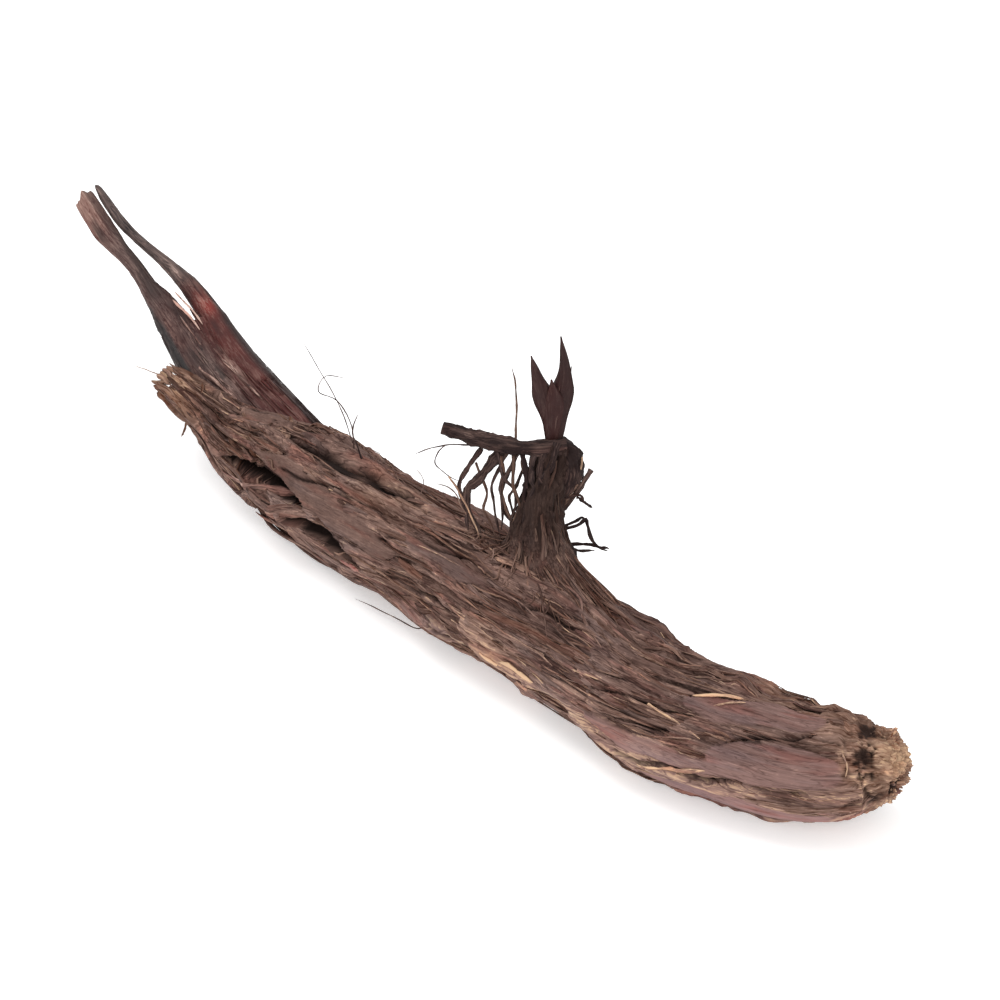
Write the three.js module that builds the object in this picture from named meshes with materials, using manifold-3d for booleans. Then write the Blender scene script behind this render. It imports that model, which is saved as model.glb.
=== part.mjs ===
// A dried valerian root, as one solid: a curved rhizome in ridged, fibrous bark that lies on its side.
// Its right end is broken off and crumbled. Its left end is torn into a tongue of bark and a split prong.
// The stub of a side root stands on top, with a tuft of rootlets, and loose fibres stand off the bark.
// Sizes are in millimetres. +Z is up, +X runs to the broken end and -Y to the front of the root.
import * as THREE from "three";
import { mergeVertices } from "three/addons/utils/BufferGeometryUtils.js";
import Module from "manifold-3d";

const wasm = await Module();
wasm.setup();

// The middle of the bark from the broken end to the tip of the tongue, with half its width and height.
const BARK = [
  { at: [28.8, -27.4, 4.2], wide: 3.1, high: 3.1 },
  { at: [26.8, -27.5, 4.2], wide: 3.7, high: 3.7 },
  { at: [21.3, -27.0, 4.2], wide: 4.1, high: 3.9 },
  { at: [12.6, -21.4, 4.3], wide: 4.4, high: 4.0 },
  { at: [5.2, -12.8, 4.5], wide: 4.6, high: 4.2 },
  { at: [-6.1, -0.6, 4.5], wide: 4.4, high: 4.3 },
  { at: [-13.1, 7.3, 4.3], wide: 3.9, high: 3.9 },
  { at: [-16.7, 10.9, 4.7], wide: 3.1, high: 2.9 },
  { at: [-19.5, 13.0, 5.2], wide: 2.3, high: 2.1 },
  { at: [-21.6, 15.3, 5.7], wide: 1.6, high: 1.5 },
  { at: [-24.7, 18.7, 6.3], wide: 1.25, high: 1.0 },
];
// The flat prong that grows out from under the bark, and the slit along its outer half.
const PRONG = [
  { at: [-12.7, 7.4, 4.8], wide: 2.9, high: 2.2 },
  { at: [-16.3, 12.6, 5.4], wide: 2.9, high: 2.1 },
  { at: [-19.6, 17.9, 6.0], wide: 2.85, high: 1.8 },
  { at: [-21.7, 21.4, 6.7], wide: 2.75, high: 1.35 },
  { at: [-23.1, 24.3, 7.3], wide: 2.55, high: 1.0 },
  { at: [-25.1, 28.3, 8.1], wide: 2.15, high: 0.7 },
  { at: [-27.0, 31.4, 9.1], wide: 1.75, high: 0.55 },
  { at: [-29.5, 34.7, 10.0], wide: 1.6, high: 0.45 },
  { at: [-31.3, 37.7, 10.9], wide: 1.1, high: 0.4 },
];
const SLIT = [
  { t: 0.58, aside: 0.5, wide: 0.1, high: 3.0 },
  { t: 0.65, aside: 0.0, wide: 0.55, high: 3.0 },
  { t: 0.73, aside: 0.1, wide: 0.65, high: 2.6 },
  { t: 0.81, aside: 0.1, wide: 0.52, high: 2.4 },
  { t: 0.89, aside: 0.33, wide: 0.46, high: 2.4 },
  { t: 0.97, aside: 0.25, wide: 0.36, high: 2.2 },
];
// The strip of bark that has come away below the gash, free at its left end.
const FLAP = [
  { at: [-7.2, -2.2, 2.4], wide: 0.8, high: 1.0 },
  { at: [-11.0, 0.8, 2.0], wide: 0.9, high: 0.9 },
  { at: [-14.2, 4.2, 2.4], wide: 0.8, high: 0.8 },
  { at: [-16.7, 7.3, 3.0], wide: 0.6, high: 0.7 },
  { at: [-18.4, 10.1, 3.8], wide: 0.4, high: 0.4 },
];
// The side root's stub, its two upright blades, the piece of root that lies across it and its hook.
const STUB = [
  { at: [3.0, -9.9, 5.0], wide: 6.4, high: 2.8 },
  { at: [3.0, -8.5, 8.4], wide: 4.1, high: 2.1 },
  { at: [3.2, -6.8, 11.5], wide: 1.9, high: 1.35 },
  { at: [3.7, -4.9, 14.0], wide: 1.25, high: 1.0 },
  { at: [4.3, -3.6, 16.0], wide: 1.0, high: 0.85 },
];
const LEFT_BLADE = [
  { at: [4.1, -3.9, 15.2], wide: 0.55, high: 0.55 },
  { at: [3.8, -2.7, 18.3], wide: 0.65, high: 0.42 },
  { at: [3.1, -2.0, 20.5], wide: 0.62, high: 0.4 },
  { at: [2.9, -1.6, 22.1], wide: 0.25, high: 0.25 },
];
const RIGHT_BLADE = [
  { at: [4.3, -3.9, 15.2], wide: 0.6, high: 0.55 },
  { at: [4.4, -2.6, 18.9], wide: 0.9, high: 0.48 },
  { at: [4.9, -1.8, 21.3], wide: 0.8, high: 0.4 },
  { at: [4.8, -1.0, 23.8], wide: 0.3, high: 0.3 },
];
const CROSSPIECE = [
  { at: [5.2, -4.0, 16.1], wide: 0.6, high: 0.6 },
  { at: [2.1, -4.4, 16.3], wide: 0.6, high: 0.55 },
  { at: [-1.1, -4.0, 16.8], wide: 0.55, high: 0.5 },
  { at: [-4.0, -3.6, 17.6], wide: 0.38, high: 0.36 },
];
const HOOK = [
  { at: [4.3, -3.3, 15.9], wide: 0.55, high: 0.55 },
  { at: [5.3, -3.7, 15.5], wide: 0.75, high: 0.7 },
  { at: [5.5, -4.3, 14.2], wide: 0.85, high: 0.75 },
  { at: [4.7, -5.2, 12.8], wide: 0.75, high: 0.7 },
  { at: [3.8, -6.2, 11.8], wide: 0.5, high: 0.5 },
];
// The tuft of rootlets: each one's half width at its root, and the places that it curls through.
const ROOTLETS = [
  {
    thick: 0.32,
    course: [[3.7, -6.6, 9.6], [4.5, -6, 11.5], [5.7, -5.2, 13], [6.4, -4.7, 13.9], [7.4, -4.4, 14.5]],
  },
  {
    thick: 0.3,
    course: [[3.8, -6.2, 12], [4.7, -6.5, 10.7], [5, -7, 9.8], [5.9, -7.4, 9]],
  },
  {
    thick: 0.27,
    course: [[3.6, -6.8, 9.8], [5, -6.5, 10.7], [6.6, -6.2, 11.2], [7.3, -7.1, 9.5], [8.3, -7.2, 9.3]],
  },
  {
    thick: 0.3,
    course: [[3.9, -7.6, 8.2], [5.9, -7, 9.6], [7.4, -7.2, 9.4], [8.4, -7.3, 9.2]],
  },
  {
    thick: 0.26,
    course: [[3.8, -6, 12.4], [6, -5.3, 12.7], [6.6, -5.6, 12.2], [7.1, -5.8, 11.9]],
  },
  {
    thick: 0.45,
    course: [[0.8, -4.3, 16.5], [-1.2, -4.8, 13.8], [-2.1, -5.2, 13], [-1.9, -5.7, 11.6], [-0.6, -7.4, 7.6]],
  },
  {
    thick: 0.3,
    course: [[1.8, -4.3, 16.3], [0.5, -5.2, 13], [0.7, -5.9, 11.8], [1.6, -6.5, 10.4], [2.3, -7.5, 8.6]],
  },
  {
    thick: 0.28,
    course: [[3.7, -4.8, 14.9], [1.6, -5, 13.3], [1.1, -5.4, 12.6], [1.4, -6, 11.5], [2.6, -7.4, 8.8]],
  },
  {
    thick: 0.3,
    course: [[2.1, -4.3, 16.3], [2.1, -4.4, 14.6], [2.5, -4.9, 13.5], [2.8, -5.3, 12.7], [3.4, -6.1, 11.2]],
  },
  {
    thick: 0.27,
    course: [[1.1, -4.3, 16.4], [0.4, -4.4, 14.6], [-0.3, -5, 13.3], [0, -5.8, 11.9], [0.6, -7.4, 8.2]],
  },
  {
    thick: 0.24,
    course: [[1.6, -4.4, 16.2], [1.6, -2.8, 17.5], [1.6, -1.6, 19.5], [1.3, -0.9, 21.2]],
  },
  {
    thick: 0.25,
    course: [[3.5, -5.9, 11], [5, -5.4, 12.6], [6, -4.8, 13.7], [6.5, -4.1, 14.9], [6.3, -3.6, 15.8]],
  },
  {
    thick: 0.24,
    course: [[-0.7, -4.1, 16.7], [-1.7, -3.9, 16.1], [-3.3, -3.5, 16], [-4.7, -3.6, 15.8], [-6, -3.9, 15.4]],
  },
  {
    thick: 0.26,
    course: [[0.5, -4.2, 16.4], [0.5, -4.9, 14.3], [0.4, -5.6, 13], [1, -6.3, 11.6], [1.9, -7, 10.4]],
  },
  {
    thick: 0.24,
    course: [[0.8, -4.3, 16.4], [0.5, -5, 14.3], [1.4, -5.5, 13.4], [1.5, -6, 12.4], [1.2, -7.2, 9.6]],
  },
  {
    thick: 0.26,
    course: [[3.6, -7, 10.9], [4.9, -7.1, 10.9], [6.5, -6.8, 11.5], [7.1, -7.4, 10.4], [8.3, -7.9, 9.5]],
  },
];
// The ways that a limb's height faces: up for what lies down, tilted to the front for the flat prong,
// and across the bark or back for what stands up.
const UPWARD = [0, 0, 1];
const TILTED = [-0.3, -0.42, 0.86];
const ACROSS = [0.76, 0.65, 0];
const BACKWARD = [0, 1, 0];

// How finely each limb is cut into rings along it and flats round it, and its ribs.
const BARK_MESH = { rings: 48, sides: 50 };
const PRONG_MESH = { rings: 20, sides: 12, ribs: 4, ribHeight: 0.13 };
const SLIT_MESH = { rings: 10, sides: 6 };
const FLAP_MESH = { rings: 9, sides: 7, ribs: 2, ribHeight: 0.08 };
const STUB_MESH = { rings: 9, sides: 16, ribs: 5, ribHeight: 0.3 };
const BLADE_MESH = { rings: 7, sides: 8, ribs: 2, ribHeight: 0.06 };
const CROSSPIECE_MESH = { rings: 8, sides: 8, ribs: 3, ribHeight: 0.08 };
const HOOK_MESH = { rings: 9, sides: 8, ribs: 3, ribHeight: 0.08 };
const GASH_MESH = { rings: 14, sides: 10, ribs: 3, ribHeight: 0.12 };
const ROOTLET_MESH = { sides: 4, rings: 9 };
const STRAND_MESH = { sides: 3, rings: 5 };
const TOOTH_MESH = { sides: 3, rings: 4 };
// How far a rib turns from one ring to the next, and how far a limb's tip stands out, in half heights.
const RIB_TURN = 0.5;
const TIP_LENGTH = 0.8;
// Ridges and cracks: their height, half width round the bark, reach along it and drift round it.
const RIDGES = { seed: 3, count: 28, height: [0.3, 0.8], spread: [0.09, 0.16], reach: [0.16, 0.5] };
const CRACKS = { seed: 5, count: 16, height: [-0.9, -0.4], spread: [0.07, 0.12], reach: [0.06, 0.24] };
const DRIFT = 0.9;
const SWAY = { most: 0.16, waves: 9 };
// Knobs on the upper side between two angles, as far along the bark as their reach.
const KNOBS = {
  seed: 7,
  count: 18,
  height: 0.5,
  spread: 0.17,
  along: 0.014,
  side: [1.2, 2.6],
  place: [0.03, 0.49],
};
// Slow lumps: their height, how often they come along the bark and round it.
const LONG_LUMPS = { height: 0.22, along: 17, round: 2, sway: 1.3 };
const SHORT_LUMPS = { height: 0.14, along: 41, round: 3 };
// The swollen upper edge of the bark beside the prong.
const SWELLING = { t: 0.76, angle: 2.25, height: 0.5, along: 0.07, spread: 0.5 };
// The relief fades towards the tip of the tongue, down to a least share.
const FADE = { least: 0.35, rise: 5 };
const LOWEST_LIFT = -1.2;
const HIGHEST_LIFT = 0.9;
// The crumbled face of the broken end: rings at shares of its size, and how far in each of them lies.
const RIM = {
  seed: 9,
  ragged: 0.3,
  shares: [0.8, 0.56, 0.32],
  depths: [-0.5, 0.1, 0.7],
  floor: 0.1,
  crumb: 0.5,
};
const TONGUE = { ragged: 0.6, hollow: 1.4 };
const RAGGED = [
  { waves: 7, phase: 0, height: 1 },
  { waves: 13, phase: 1, height: 0.8 },
  { waves: 29, phase: 0, height: 0.5 },
];
// The gash's middle line, as places along the bark and angles round it, with half its width and its depth.
const GASH = [
  { t: 0.65, angle: 0.2, wide: 0.3, high: 0.6 },
  { t: 0.71, angle: 0.25, wide: 1.0, high: 1.9 },
  { t: 0.78, angle: 0.25, wide: 1.35, high: 2.4 },
  { t: 0.85, angle: 0.22, wide: 1.0, high: 1.8 },
  { t: 0.9, angle: 0.16, wide: 0.3, high: 0.6 },
];
// A fibre loses this share of its girth towards its tip, and is steep above this share of height.
const FIBRE_TAPER = 0.6;
const STEEP = 0.7;
// Where the strands start along the bark and round it, how far they drift round, how deep they start,
// how much of the relief they follow, how many run to the right, and where they end at most.
const STRAND_PLACES = {
  start: [0.03, 0.85],
  side: [-0.7, 3.5],
  drift: [-0.45, 0.45],
  sunk: 0.35,
  follow: 0.6,
  backward: 0.3,
  ends: [0.01, 0.97],
};
const STRANDS = { seed: 33, count: 23, reach: [0.08, 0.2], thick: [0.2, 0.34], lift: [0.45, 1.0] };
const LOOSE_ENDS = { seed: 57, count: 7, reach: [0.05, 0.1], thick: [0.2, 0.28], lift: [0.9, 2.2] };
// The teeth: where they start along the bark and how far out, how they lean and curl, how deep they root.
const TEETH = {
  seed: 41,
  count: 10,
  length: [1.0, 2.4],
  thick: [0.28, 0.42],
  place: [0.9, 0.98],
  inset: 0.85,
  lean: 0.25,
  scatter: 0.5,
  curl: 0.04,
  sunk: 0.9,
};
const GROUND = { side: 200, depth: 20 };

/** The same number from 0 to 1 each time for a seed and a place in its row. */
function chance(seed, place) {
  const wave = Math.sin(seed * 127.1 + place * 311.7) * 43758.5453;
  return wave - Math.floor(wave);
}

/** A number between low and high, drawn by chance. */
function between([low, high], seed, place) {
  return low + (high - low) * chance(seed, place);
}

/** An angle brought to between minus half a turn and half a turn. */
function wrapped(angle) {
  return angle - 2 * Math.PI * Math.round(angle / (2 * Math.PI));
}

/** The line through a limb's points, with its half width and half height and how it faces. */
class Limb {
  constructor(stations, facing = UPWARD) {
    this.facing = facing;
    this.line = new THREE.CatmullRomCurve3(
      stations.map(({ at }) => new THREE.Vector3(...at)),
      false,
      "catmullrom",
      0.5,
    );
    this.size = new THREE.CatmullRomCurve3(
      stations.map(({ wide, high }) => new THREE.Vector3(wide, high, 0)),
      false,
      "catmullrom",
      0.5,
    );
  }

  /** The middle, the way ahead, the way of its width and the way of its height, at t from 0 to 1. */
  frame(t) {
    const middle = this.line.getPointAt(t);
    const ahead = this.line.getTangentAt(t);
    const facing = new THREE.Vector3(...this.facing);
    const up = facing.addScaledVector(ahead, -facing.dot(ahead)).normalize();
    const out = new THREE.Vector3().crossVectors(up, ahead);
    return { middle, ahead, out, up, size: this.size.getPoint(this.line.getUtoTmapping(t)) };
  }

  /** A point t along the limb at an angle round it, at a share of its size and a distance further out. */
  skin(t, angle, share = 1, further = 0) {
    const { middle, out, up, size } = this.frame(t);
    return middle
      .addScaledVector(out, Math.cos(angle) * (size.x * share + further))
      .addScaledVector(up, Math.sin(angle) * (size.y * share + further));
  }
}

/** A solid of rings of points, closed by a middle point at each end. */
function ringSolid(rings, sides, pointAt, firstMiddle, lastMiddle) {
  const places = [firstMiddle];
  for (let ring = 0; ring < rings; ring++)
    for (let side = 0; side < sides; side++) places.push(pointAt(ring, side));
  places.push(lastMiddle);
  const last = places.length - 1;
  const faces = [];
  for (let side = 0; side < sides; side++) {
    const next = (side + 1) % sides;
    faces.push(0, 1 + next, 1 + side);
    for (let ring = 0; ring < rings - 1; ring++) {
      const near = 1 + ring * sides;
      const far = near + sides;
      faces.push(near + side, far + next, far + side, near + side, near + next, far + next);
    }
    const end = 1 + (rings - 1) * sides;
    faces.push(end + side, end + next, last);
  }
  const geometry = new THREE.BufferGeometry()
    .setAttribute("position", new THREE.Float32BufferAttribute(places.flatMap((p) => [p.x, p.y, p.z]), 3))
    .setIndex(faces);
  return solidOf(geometry);
}

/** A geometry as a solid that can be joined and cut. */
function solidOf(geometry) {
  const bare = geometry.clone();
  bare.deleteAttribute("normal");
  bare.deleteAttribute("uv");
  const merged = mergeVertices(bare);
  const mesh = new wasm.Mesh({
    numProp: 3,
    vertProperties: merged.attributes.position.array,
    triVerts: new Uint32Array(merged.index.array),
  });
  return new wasm.Manifold(mesh);
}

/** Long low ridges, or cracks, that drift round the bark as they run along it. */
function streaks({ seed, count, height, spread, reach }) {
  return Array.from({ length: count }, (_, i) => ({
    angle: 2 * Math.PI * ((i + 0.8 * chance(seed, i)) / count),
    middle: chance(seed, i + 100),
    reach: between(reach, seed, i + 200),
    height: between(height, seed, i + 300),
    spread: between(spread, seed, i + 400),
    drift: DRIFT * (chance(seed, i + 500) - 0.5),
    sway: SWAY.most * chance(seed, i + 600),
    phase: 2 * Math.PI * chance(seed, i + 700),
  }));
}

/** How far a streak lifts the bark at a place. */
function liftOfStreak(streak, t, angle) {
  const along = (t - streak.middle) / streak.reach;
  if (Math.abs(along) > 1) return 0;
  const sway = streak.sway * Math.sin(SWAY.waves * t + streak.phase);
  const course = streak.angle + streak.drift * (t - streak.middle) + sway;
  const across = wrapped(angle - course) / streak.spread;
  return streak.height * (1 - along * along) * Math.exp(-across * across);
}

const RIDGE_ROW = streaks(RIDGES);
const CRACK_ROW = streaks(CRACKS);
const KNOB_ROW = Array.from({ length: KNOBS.count }, (_, i) => ({
  t: between(KNOBS.place, KNOBS.seed, i),
  angle: between(KNOBS.side, KNOBS.seed, i + 100),
  height: KNOBS.height * (0.5 + 0.5 * chance(KNOBS.seed, i + 200)),
}));

/** How far a round bump lifts the bark at a place. */
function bump({ t: middle, angle: side, height, along, spread }, t, angle) {
  const across = wrapped(angle - side) / spread;
  const far = (t - middle) / along;
  return height * Math.exp(-across * across - far * far);
}

/** How far the bark stands out of its plain shape at a place. */
function relief(t, angle) {
  const rows = [...RIDGE_ROW, ...CRACK_ROW];
  const streaked = rows.reduce((sum, streak) => sum + liftOfStreak(streak, t, angle), 0);
  const knobbed = KNOB_ROW.reduce((sum, knob) => sum + bump({ ...KNOBS, ...knob }, t, angle), 0);
  const sway = LONG_LUMPS.sway * Math.sin(LONG_LUMPS.round * angle);
  const long = LONG_LUMPS.height * Math.sin(LONG_LUMPS.along * t + sway);
  const short = SHORT_LUMPS.height * Math.sin(SHORT_LUMPS.along * t + SHORT_LUMPS.round * angle);
  const swollen = bump(SWELLING, t, angle);
  const shrink = Math.min(1, FADE.least + (1 - t) * FADE.rise);
  const held = Math.max(LOWEST_LIFT, Math.min(HIGHEST_LIFT, streaked));
  return (held + knobbed + swollen + long + short) * shrink;
}

/** How far torn bark stands out along its edge, at an angle round it. */
function ragged(angle) {
  const waveOf = ({ waves, phase, height }) => height * Math.sin(waves * angle + phase);
  return RAGGED.reduce((sum, row) => sum + waveOf(row), 0);
}

const BARK_LIMB = new Limb(BARK);

/** The bark, with its crumbled hollow at the broken end and its torn, hollow tongue at the other. */
function makeBark() {
  const { rings, sides } = BARK_MESH;
  const inner = RIM.shares.length;
  const pointAt = (ring, side) => {
    const angle = (2 * Math.PI * side) / sides;
    if (ring < inner) {
      const step = inner - 1 - ring;
      const crumb = 0.5 * Math.sin(5 * angle + 2 * step) + between([-0.6, 0.6], RIM.seed + step, side);
      const further = RIM.depths[step] + RIM.crumb * crumb;
      const point = BARK_LIMB.skin(0, angle, RIM.shares[step] * (1 + 0.1 * crumb));
      return point.addScaledVector(BARK_LIMB.frame(0).ahead, further);
    }
    const t = (ring - inner) / (rings - 1);
    const isFirst = ring === inner;
    const isLast = ring === inner + rings - 1;
    const torn = ragged(angle) * (isFirst ? -RIM.ragged : isLast ? TONGUE.ragged : 0);
    return BARK_LIMB.skin(t, angle, 1, relief(t, angle)).addScaledVector(BARK_LIMB.frame(t).ahead, torn);
  };
  const start = BARK_LIMB.frame(0);
  const end = BARK_LIMB.frame(1);
  const floor = start.middle.addScaledVector(start.ahead, RIM.floor);
  const hollow = end.middle.addScaledVector(end.ahead, -TONGUE.hollow);
  return ringSolid(inner + rings, sides, pointAt, floor, hollow);
}

/** A prong, stub or piece of root, ribbed along its length. */
function makeLimb(limb, { rings, sides, ribs = 0, ribHeight = 0 }) {
  const pointAt = (ring, side) => {
    const angle = (2 * Math.PI * side) / sides;
    const rib = ribHeight * Math.sin(ribs * angle + ring * RIB_TURN);
    return limb.skin(ring / (rings - 1), angle, 1, rib);
  };
  const first = limb.frame(0);
  const last = limb.frame(1);
  const tip = last.middle.addScaledVector(last.ahead, TIP_LENGTH * last.size.y);
  return ringSolid(rings, sides, pointAt, first.middle, tip);
}

/** A thin fibre through a row of points, thickest at its start. */
function makeFibre(points, thick, mesh) {
  const stations = points.map((point, i) => {
    const girth = thick * (1 - (FIBRE_TAPER * i) / (points.length - 1));
    return { at: point.toArray(), wide: girth, high: girth };
  });
  const steep = Math.abs(points[points.length - 1].clone().sub(points[0]).normalize().z) > STEEP;
  return makeLimb(new Limb(stations, steep ? BACKWARD : UPWARD), mesh);
}

/** A direction of length 1 drawn by chance, near the one given. */
function scattered(direction, spread, seed, place) {
  return new THREE.Vector3(
    direction.x + spread * (chance(seed, place) - 0.5),
    direction.y + spread * (chance(seed, place + 1) - 0.5),
    direction.z + spread * (chance(seed, place + 2) - 0.5),
  ).normalize();
}

/** The tuft of curly rootlets between the stub, its sideways piece and the bark. */
function makeRootlets() {
  return ROOTLETS.map(({ thick, course }) =>
    makeFibre(course.map((place) => new THREE.Vector3(...place)), thick, ROOTLET_MESH),
  );
}

/** Fibres that run along the bark, sunk at their start and lifted off it in the middle or at their end. */
function makeStrands({ seed: first, count, reach, thick, lift }, isFree) {
  const { start: starts, side, drift: drifts, sunk, follow, backward, ends } = STRAND_PLACES;
  return Array.from({ length: count }, (_, i) => {
    const seed = first + i;
    const start = starts[0] + (starts[1] - starts[0]) * ((i + chance(seed, 1)) / count);
    const along = between(reach, seed, 2) * (chance(seed, 3) > backward ? 1 : -1);
    const angle = between(side, seed, 4);
    const drift = between(drifts, seed, 5);
    const height = between(lift, seed, 6);
    const points = [0, 0.25, 0.5, 0.75, 1].map((share) => {
      const t = Math.min(ends[1], Math.max(ends[0], start + along * share));
      const round = angle + drift * share;
      const raised = isFree ? height * share * share : height * Math.sin(Math.PI * share);
      return BARK_LIMB.skin(t, round, 1, follow * relief(t, round) - sunk + raised);
    });
    return makeFibre(points, between(thick, seed, 7), STRAND_MESH);
  });
}

/** The teeth of torn bark at the tip of the tongue. */
function makeTeeth() {
  return Array.from({ length: TEETH.count }, (_, i) => {
    const seed = TEETH.seed + i;
    const t = between(TEETH.place, seed, 1);
    const root = BARK_LIMB.skin(t, 2 * Math.PI * (i / TEETH.count), TEETH.inset);
    const { middle, ahead } = BARK_LIMB.frame(t);
    const away = root.clone().sub(middle).normalize();
    const heading = scattered(ahead.clone().addScaledVector(away, TEETH.lean), TEETH.scatter, seed, 10);
    const length = between(TEETH.length, seed, 30);
    const points = [-TEETH.sunk, 0.5 * length, length].map((far) =>
      root.clone().addScaledVector(heading, far).addScaledVector(away, TEETH.curl * far * far),
    );
    return makeFibre(points, between(TEETH.thick, seed, 31), TOOTH_MESH);
  });
}

/** The lens of bark that has come away at the front, down to the hollow behind it. */
function makeGash() {
  const stations = GASH.map(({ t, angle, wide, high }) => ({
    at: BARK_LIMB.skin(t, angle).toArray(),
    wide,
    high,
  }));
  const { t, angle } = GASH[Math.floor(GASH.length / 2)];
  const { out, up } = BARK_LIMB.frame(t);
  const facing = out.multiplyScalar(Math.cos(angle)).addScaledVector(up, Math.sin(angle));
  return makeLimb(new Limb(stations, facing.toArray()), GASH_MESH);
}

/** All that lies under the surface that the root rests on. */
function makeUnderground() {
  const slab = new THREE.BoxGeometry(GROUND.side, GROUND.side, GROUND.depth);
  slab.translate(0, 0, -GROUND.depth / 2);
  return solidOf(slab);
}

/** The prong, with its slit cut through it. */
function makeProng() {
  const prong = new Limb(PRONG, TILTED);
  const stations = SLIT.map(({ t, aside, wide, high }) => ({
    at: prong.skin(t, 0, 0, -aside).toArray(),
    wide,
    high,
  }));
  return makeLimb(prong, PRONG_MESH).subtract(makeLimb(new Limb(stations, TILTED), SLIT_MESH));
}

/** The whole root as one solid. */
function makeRoot() {
  const solids = [
    makeBark().subtract(makeGash()),
    makeProng(),
    makeLimb(new Limb(FLAP), FLAP_MESH),
    makeLimb(new Limb(STUB, ACROSS), STUB_MESH),
    makeLimb(new Limb(LEFT_BLADE, BACKWARD), BLADE_MESH),
    makeLimb(new Limb(RIGHT_BLADE, BACKWARD), BLADE_MESH),
    makeLimb(new Limb(CROSSPIECE), CROSSPIECE_MESH),
    makeLimb(new Limb(HOOK, BACKWARD), HOOK_MESH),
    ...makeRootlets(),
    ...makeStrands(STRANDS, false),
    ...makeStrands(LOOSE_ENDS, true),
    ...makeTeeth(),
  ];
  const bodies = wasm.Manifold.union(solids).subtract(makeUnderground()).decompose();
  return bodies.reduce((largest, body) => (body.volume() > largest.volume() ? body : largest));
}

/** A solid as a geometry. */
function geometryOf(solid) {
  const { numProp, numVert, vertProperties, triVerts } = solid.getMesh();
  const places = new Float32Array(numVert * 3);
  for (let i = 0; i < numVert; i++)
    places.set(vertProperties.subarray(i * numProp, i * numProp + 3), i * 3);
  return new THREE.BufferGeometry()
    .setAttribute("position", new THREE.BufferAttribute(places, 3))
    .setIndex(new THREE.BufferAttribute(triVerts, 1));
}

const bark = new THREE.MeshStandardMaterial({ color: 0x5e463c, roughness: 0.9, metalness: 0 });
const geometry = geometryOf(makeRoot());
geometry.computeBoundingBox();
const middle = geometry.boundingBox.getCenter(new THREE.Vector3());
geometry.translate(-middle.x, -middle.y, 0);
const root = new THREE.Mesh(geometry, bark);
root.name = "valerian_root";

const part = new THREE.Group();
part.add(root);

export default part;
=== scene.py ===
"""The looks of a dried valerian root that lies on its side on a pale floor.

The root is one grown piece, so every mesh here stands for parts of the same CAD solid: the curved bark,
its broken end, its torn tongue, the split prong, the side root's stub with its rootlets, and the fibres
of the bark. Lengths are in millimetres until a mesh is written, which is in metres. A place t along a
limb goes from 0 at its first station to 1 at its last, and angles round it are in radians.
"""

import logging
import math
from dataclasses import dataclass
from enum import Enum

import bmesh
import bpy
import numpy as np
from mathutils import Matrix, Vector, noise


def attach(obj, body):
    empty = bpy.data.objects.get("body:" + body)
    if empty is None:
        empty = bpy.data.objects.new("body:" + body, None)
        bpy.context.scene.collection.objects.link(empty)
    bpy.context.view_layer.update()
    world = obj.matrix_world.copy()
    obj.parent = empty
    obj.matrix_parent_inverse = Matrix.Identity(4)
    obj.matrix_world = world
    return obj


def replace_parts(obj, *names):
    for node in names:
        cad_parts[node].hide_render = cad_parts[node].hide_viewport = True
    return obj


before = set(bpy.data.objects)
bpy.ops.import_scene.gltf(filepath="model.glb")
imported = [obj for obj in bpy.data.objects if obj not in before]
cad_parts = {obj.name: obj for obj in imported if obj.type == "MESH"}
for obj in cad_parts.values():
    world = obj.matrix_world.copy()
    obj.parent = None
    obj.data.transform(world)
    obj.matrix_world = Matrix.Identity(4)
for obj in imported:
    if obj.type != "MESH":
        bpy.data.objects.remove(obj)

Pair = tuple[float, float]
Triple = tuple[float, float, float]
Colour = tuple[int, int, int]
Socket = bpy.types.NodeSocket

LOG = logging.getLogger("valerian_root")
METRES = 0.001
TURN = 2 * math.pi
# The middle of the root's box in the sizes below, which the CAD part is moved by.
MIDDLE = np.array([-1.2157, 3.0029, 0.0])
# The ways that the limbs' heights face.
UPWARD = (0.0, 0.0, 1.0)
TILTED = (-0.3, -0.42, 0.86)
ACROSS = (0.76, 0.65, 0.0)
BACKWARD = (0.0, 1.0, 0.0)
# Nothing is lower than this above the floor.
LOWEST = 0.02
# What makes a wave so steep that its places look like chance.
SEED_STEP = 127.1
PLACE_STEP = 311.7
STEEP = 43758.5453
# The seed of Blender's noise vectors, where 0 would be the time of day.
NOISE_SEED = 5


def chance(seed: int, place: np.ndarray | float) -> np.ndarray | float:
    """The same number from 0 to 1 each time for a seed and a place in its row, as in the CAD part."""
    wave = np.sin(seed * SEED_STEP + place * PLACE_STEP) * STEEP
    return wave - np.floor(wave)


def unit(vectors: np.ndarray) -> np.ndarray:
    """The vectors with their length made 1."""
    return vectors / np.maximum(np.linalg.norm(vectors, axis=-1, keepdims=True), 1e-9)


def smooth_step(low: float, high: float, value: np.ndarray) -> np.ndarray:
    """A smooth rise from 0 at low to 1 at high."""
    share = np.clip((value - low) / (high - low), 0, 1)
    return share * share * (3 - 2 * share)


def smooth_curve(points: np.ndarray, place: np.ndarray) -> np.ndarray:
    """A smooth line through points, by the same rule as the CAD part's lines.

    Args:
        points: The points, one in each row.
        place: Places from 0 at the first point to 1 at the last.

    Returns:
        A point for each place.
    """
    count = len(points)
    rows = np.vstack((2 * points[0] - points[1], points, 2 * points[-1] - points[-2]))
    step = np.clip(place, 0, 1) * (count - 1)
    index = np.minimum(step.astype(int), count - 2)
    w = (step - index)[..., None]
    before, near, far, after = rows[index], rows[index + 1], rows[index + 2], rows[index + 3]
    start, end = 0.5 * (far - before), 0.5 * (after - near)
    bend = 2 * near - 2 * far + start + end
    return near + w * (start + w * (-3 * near + 3 * far - 2 * start - end + w * bend))


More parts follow.
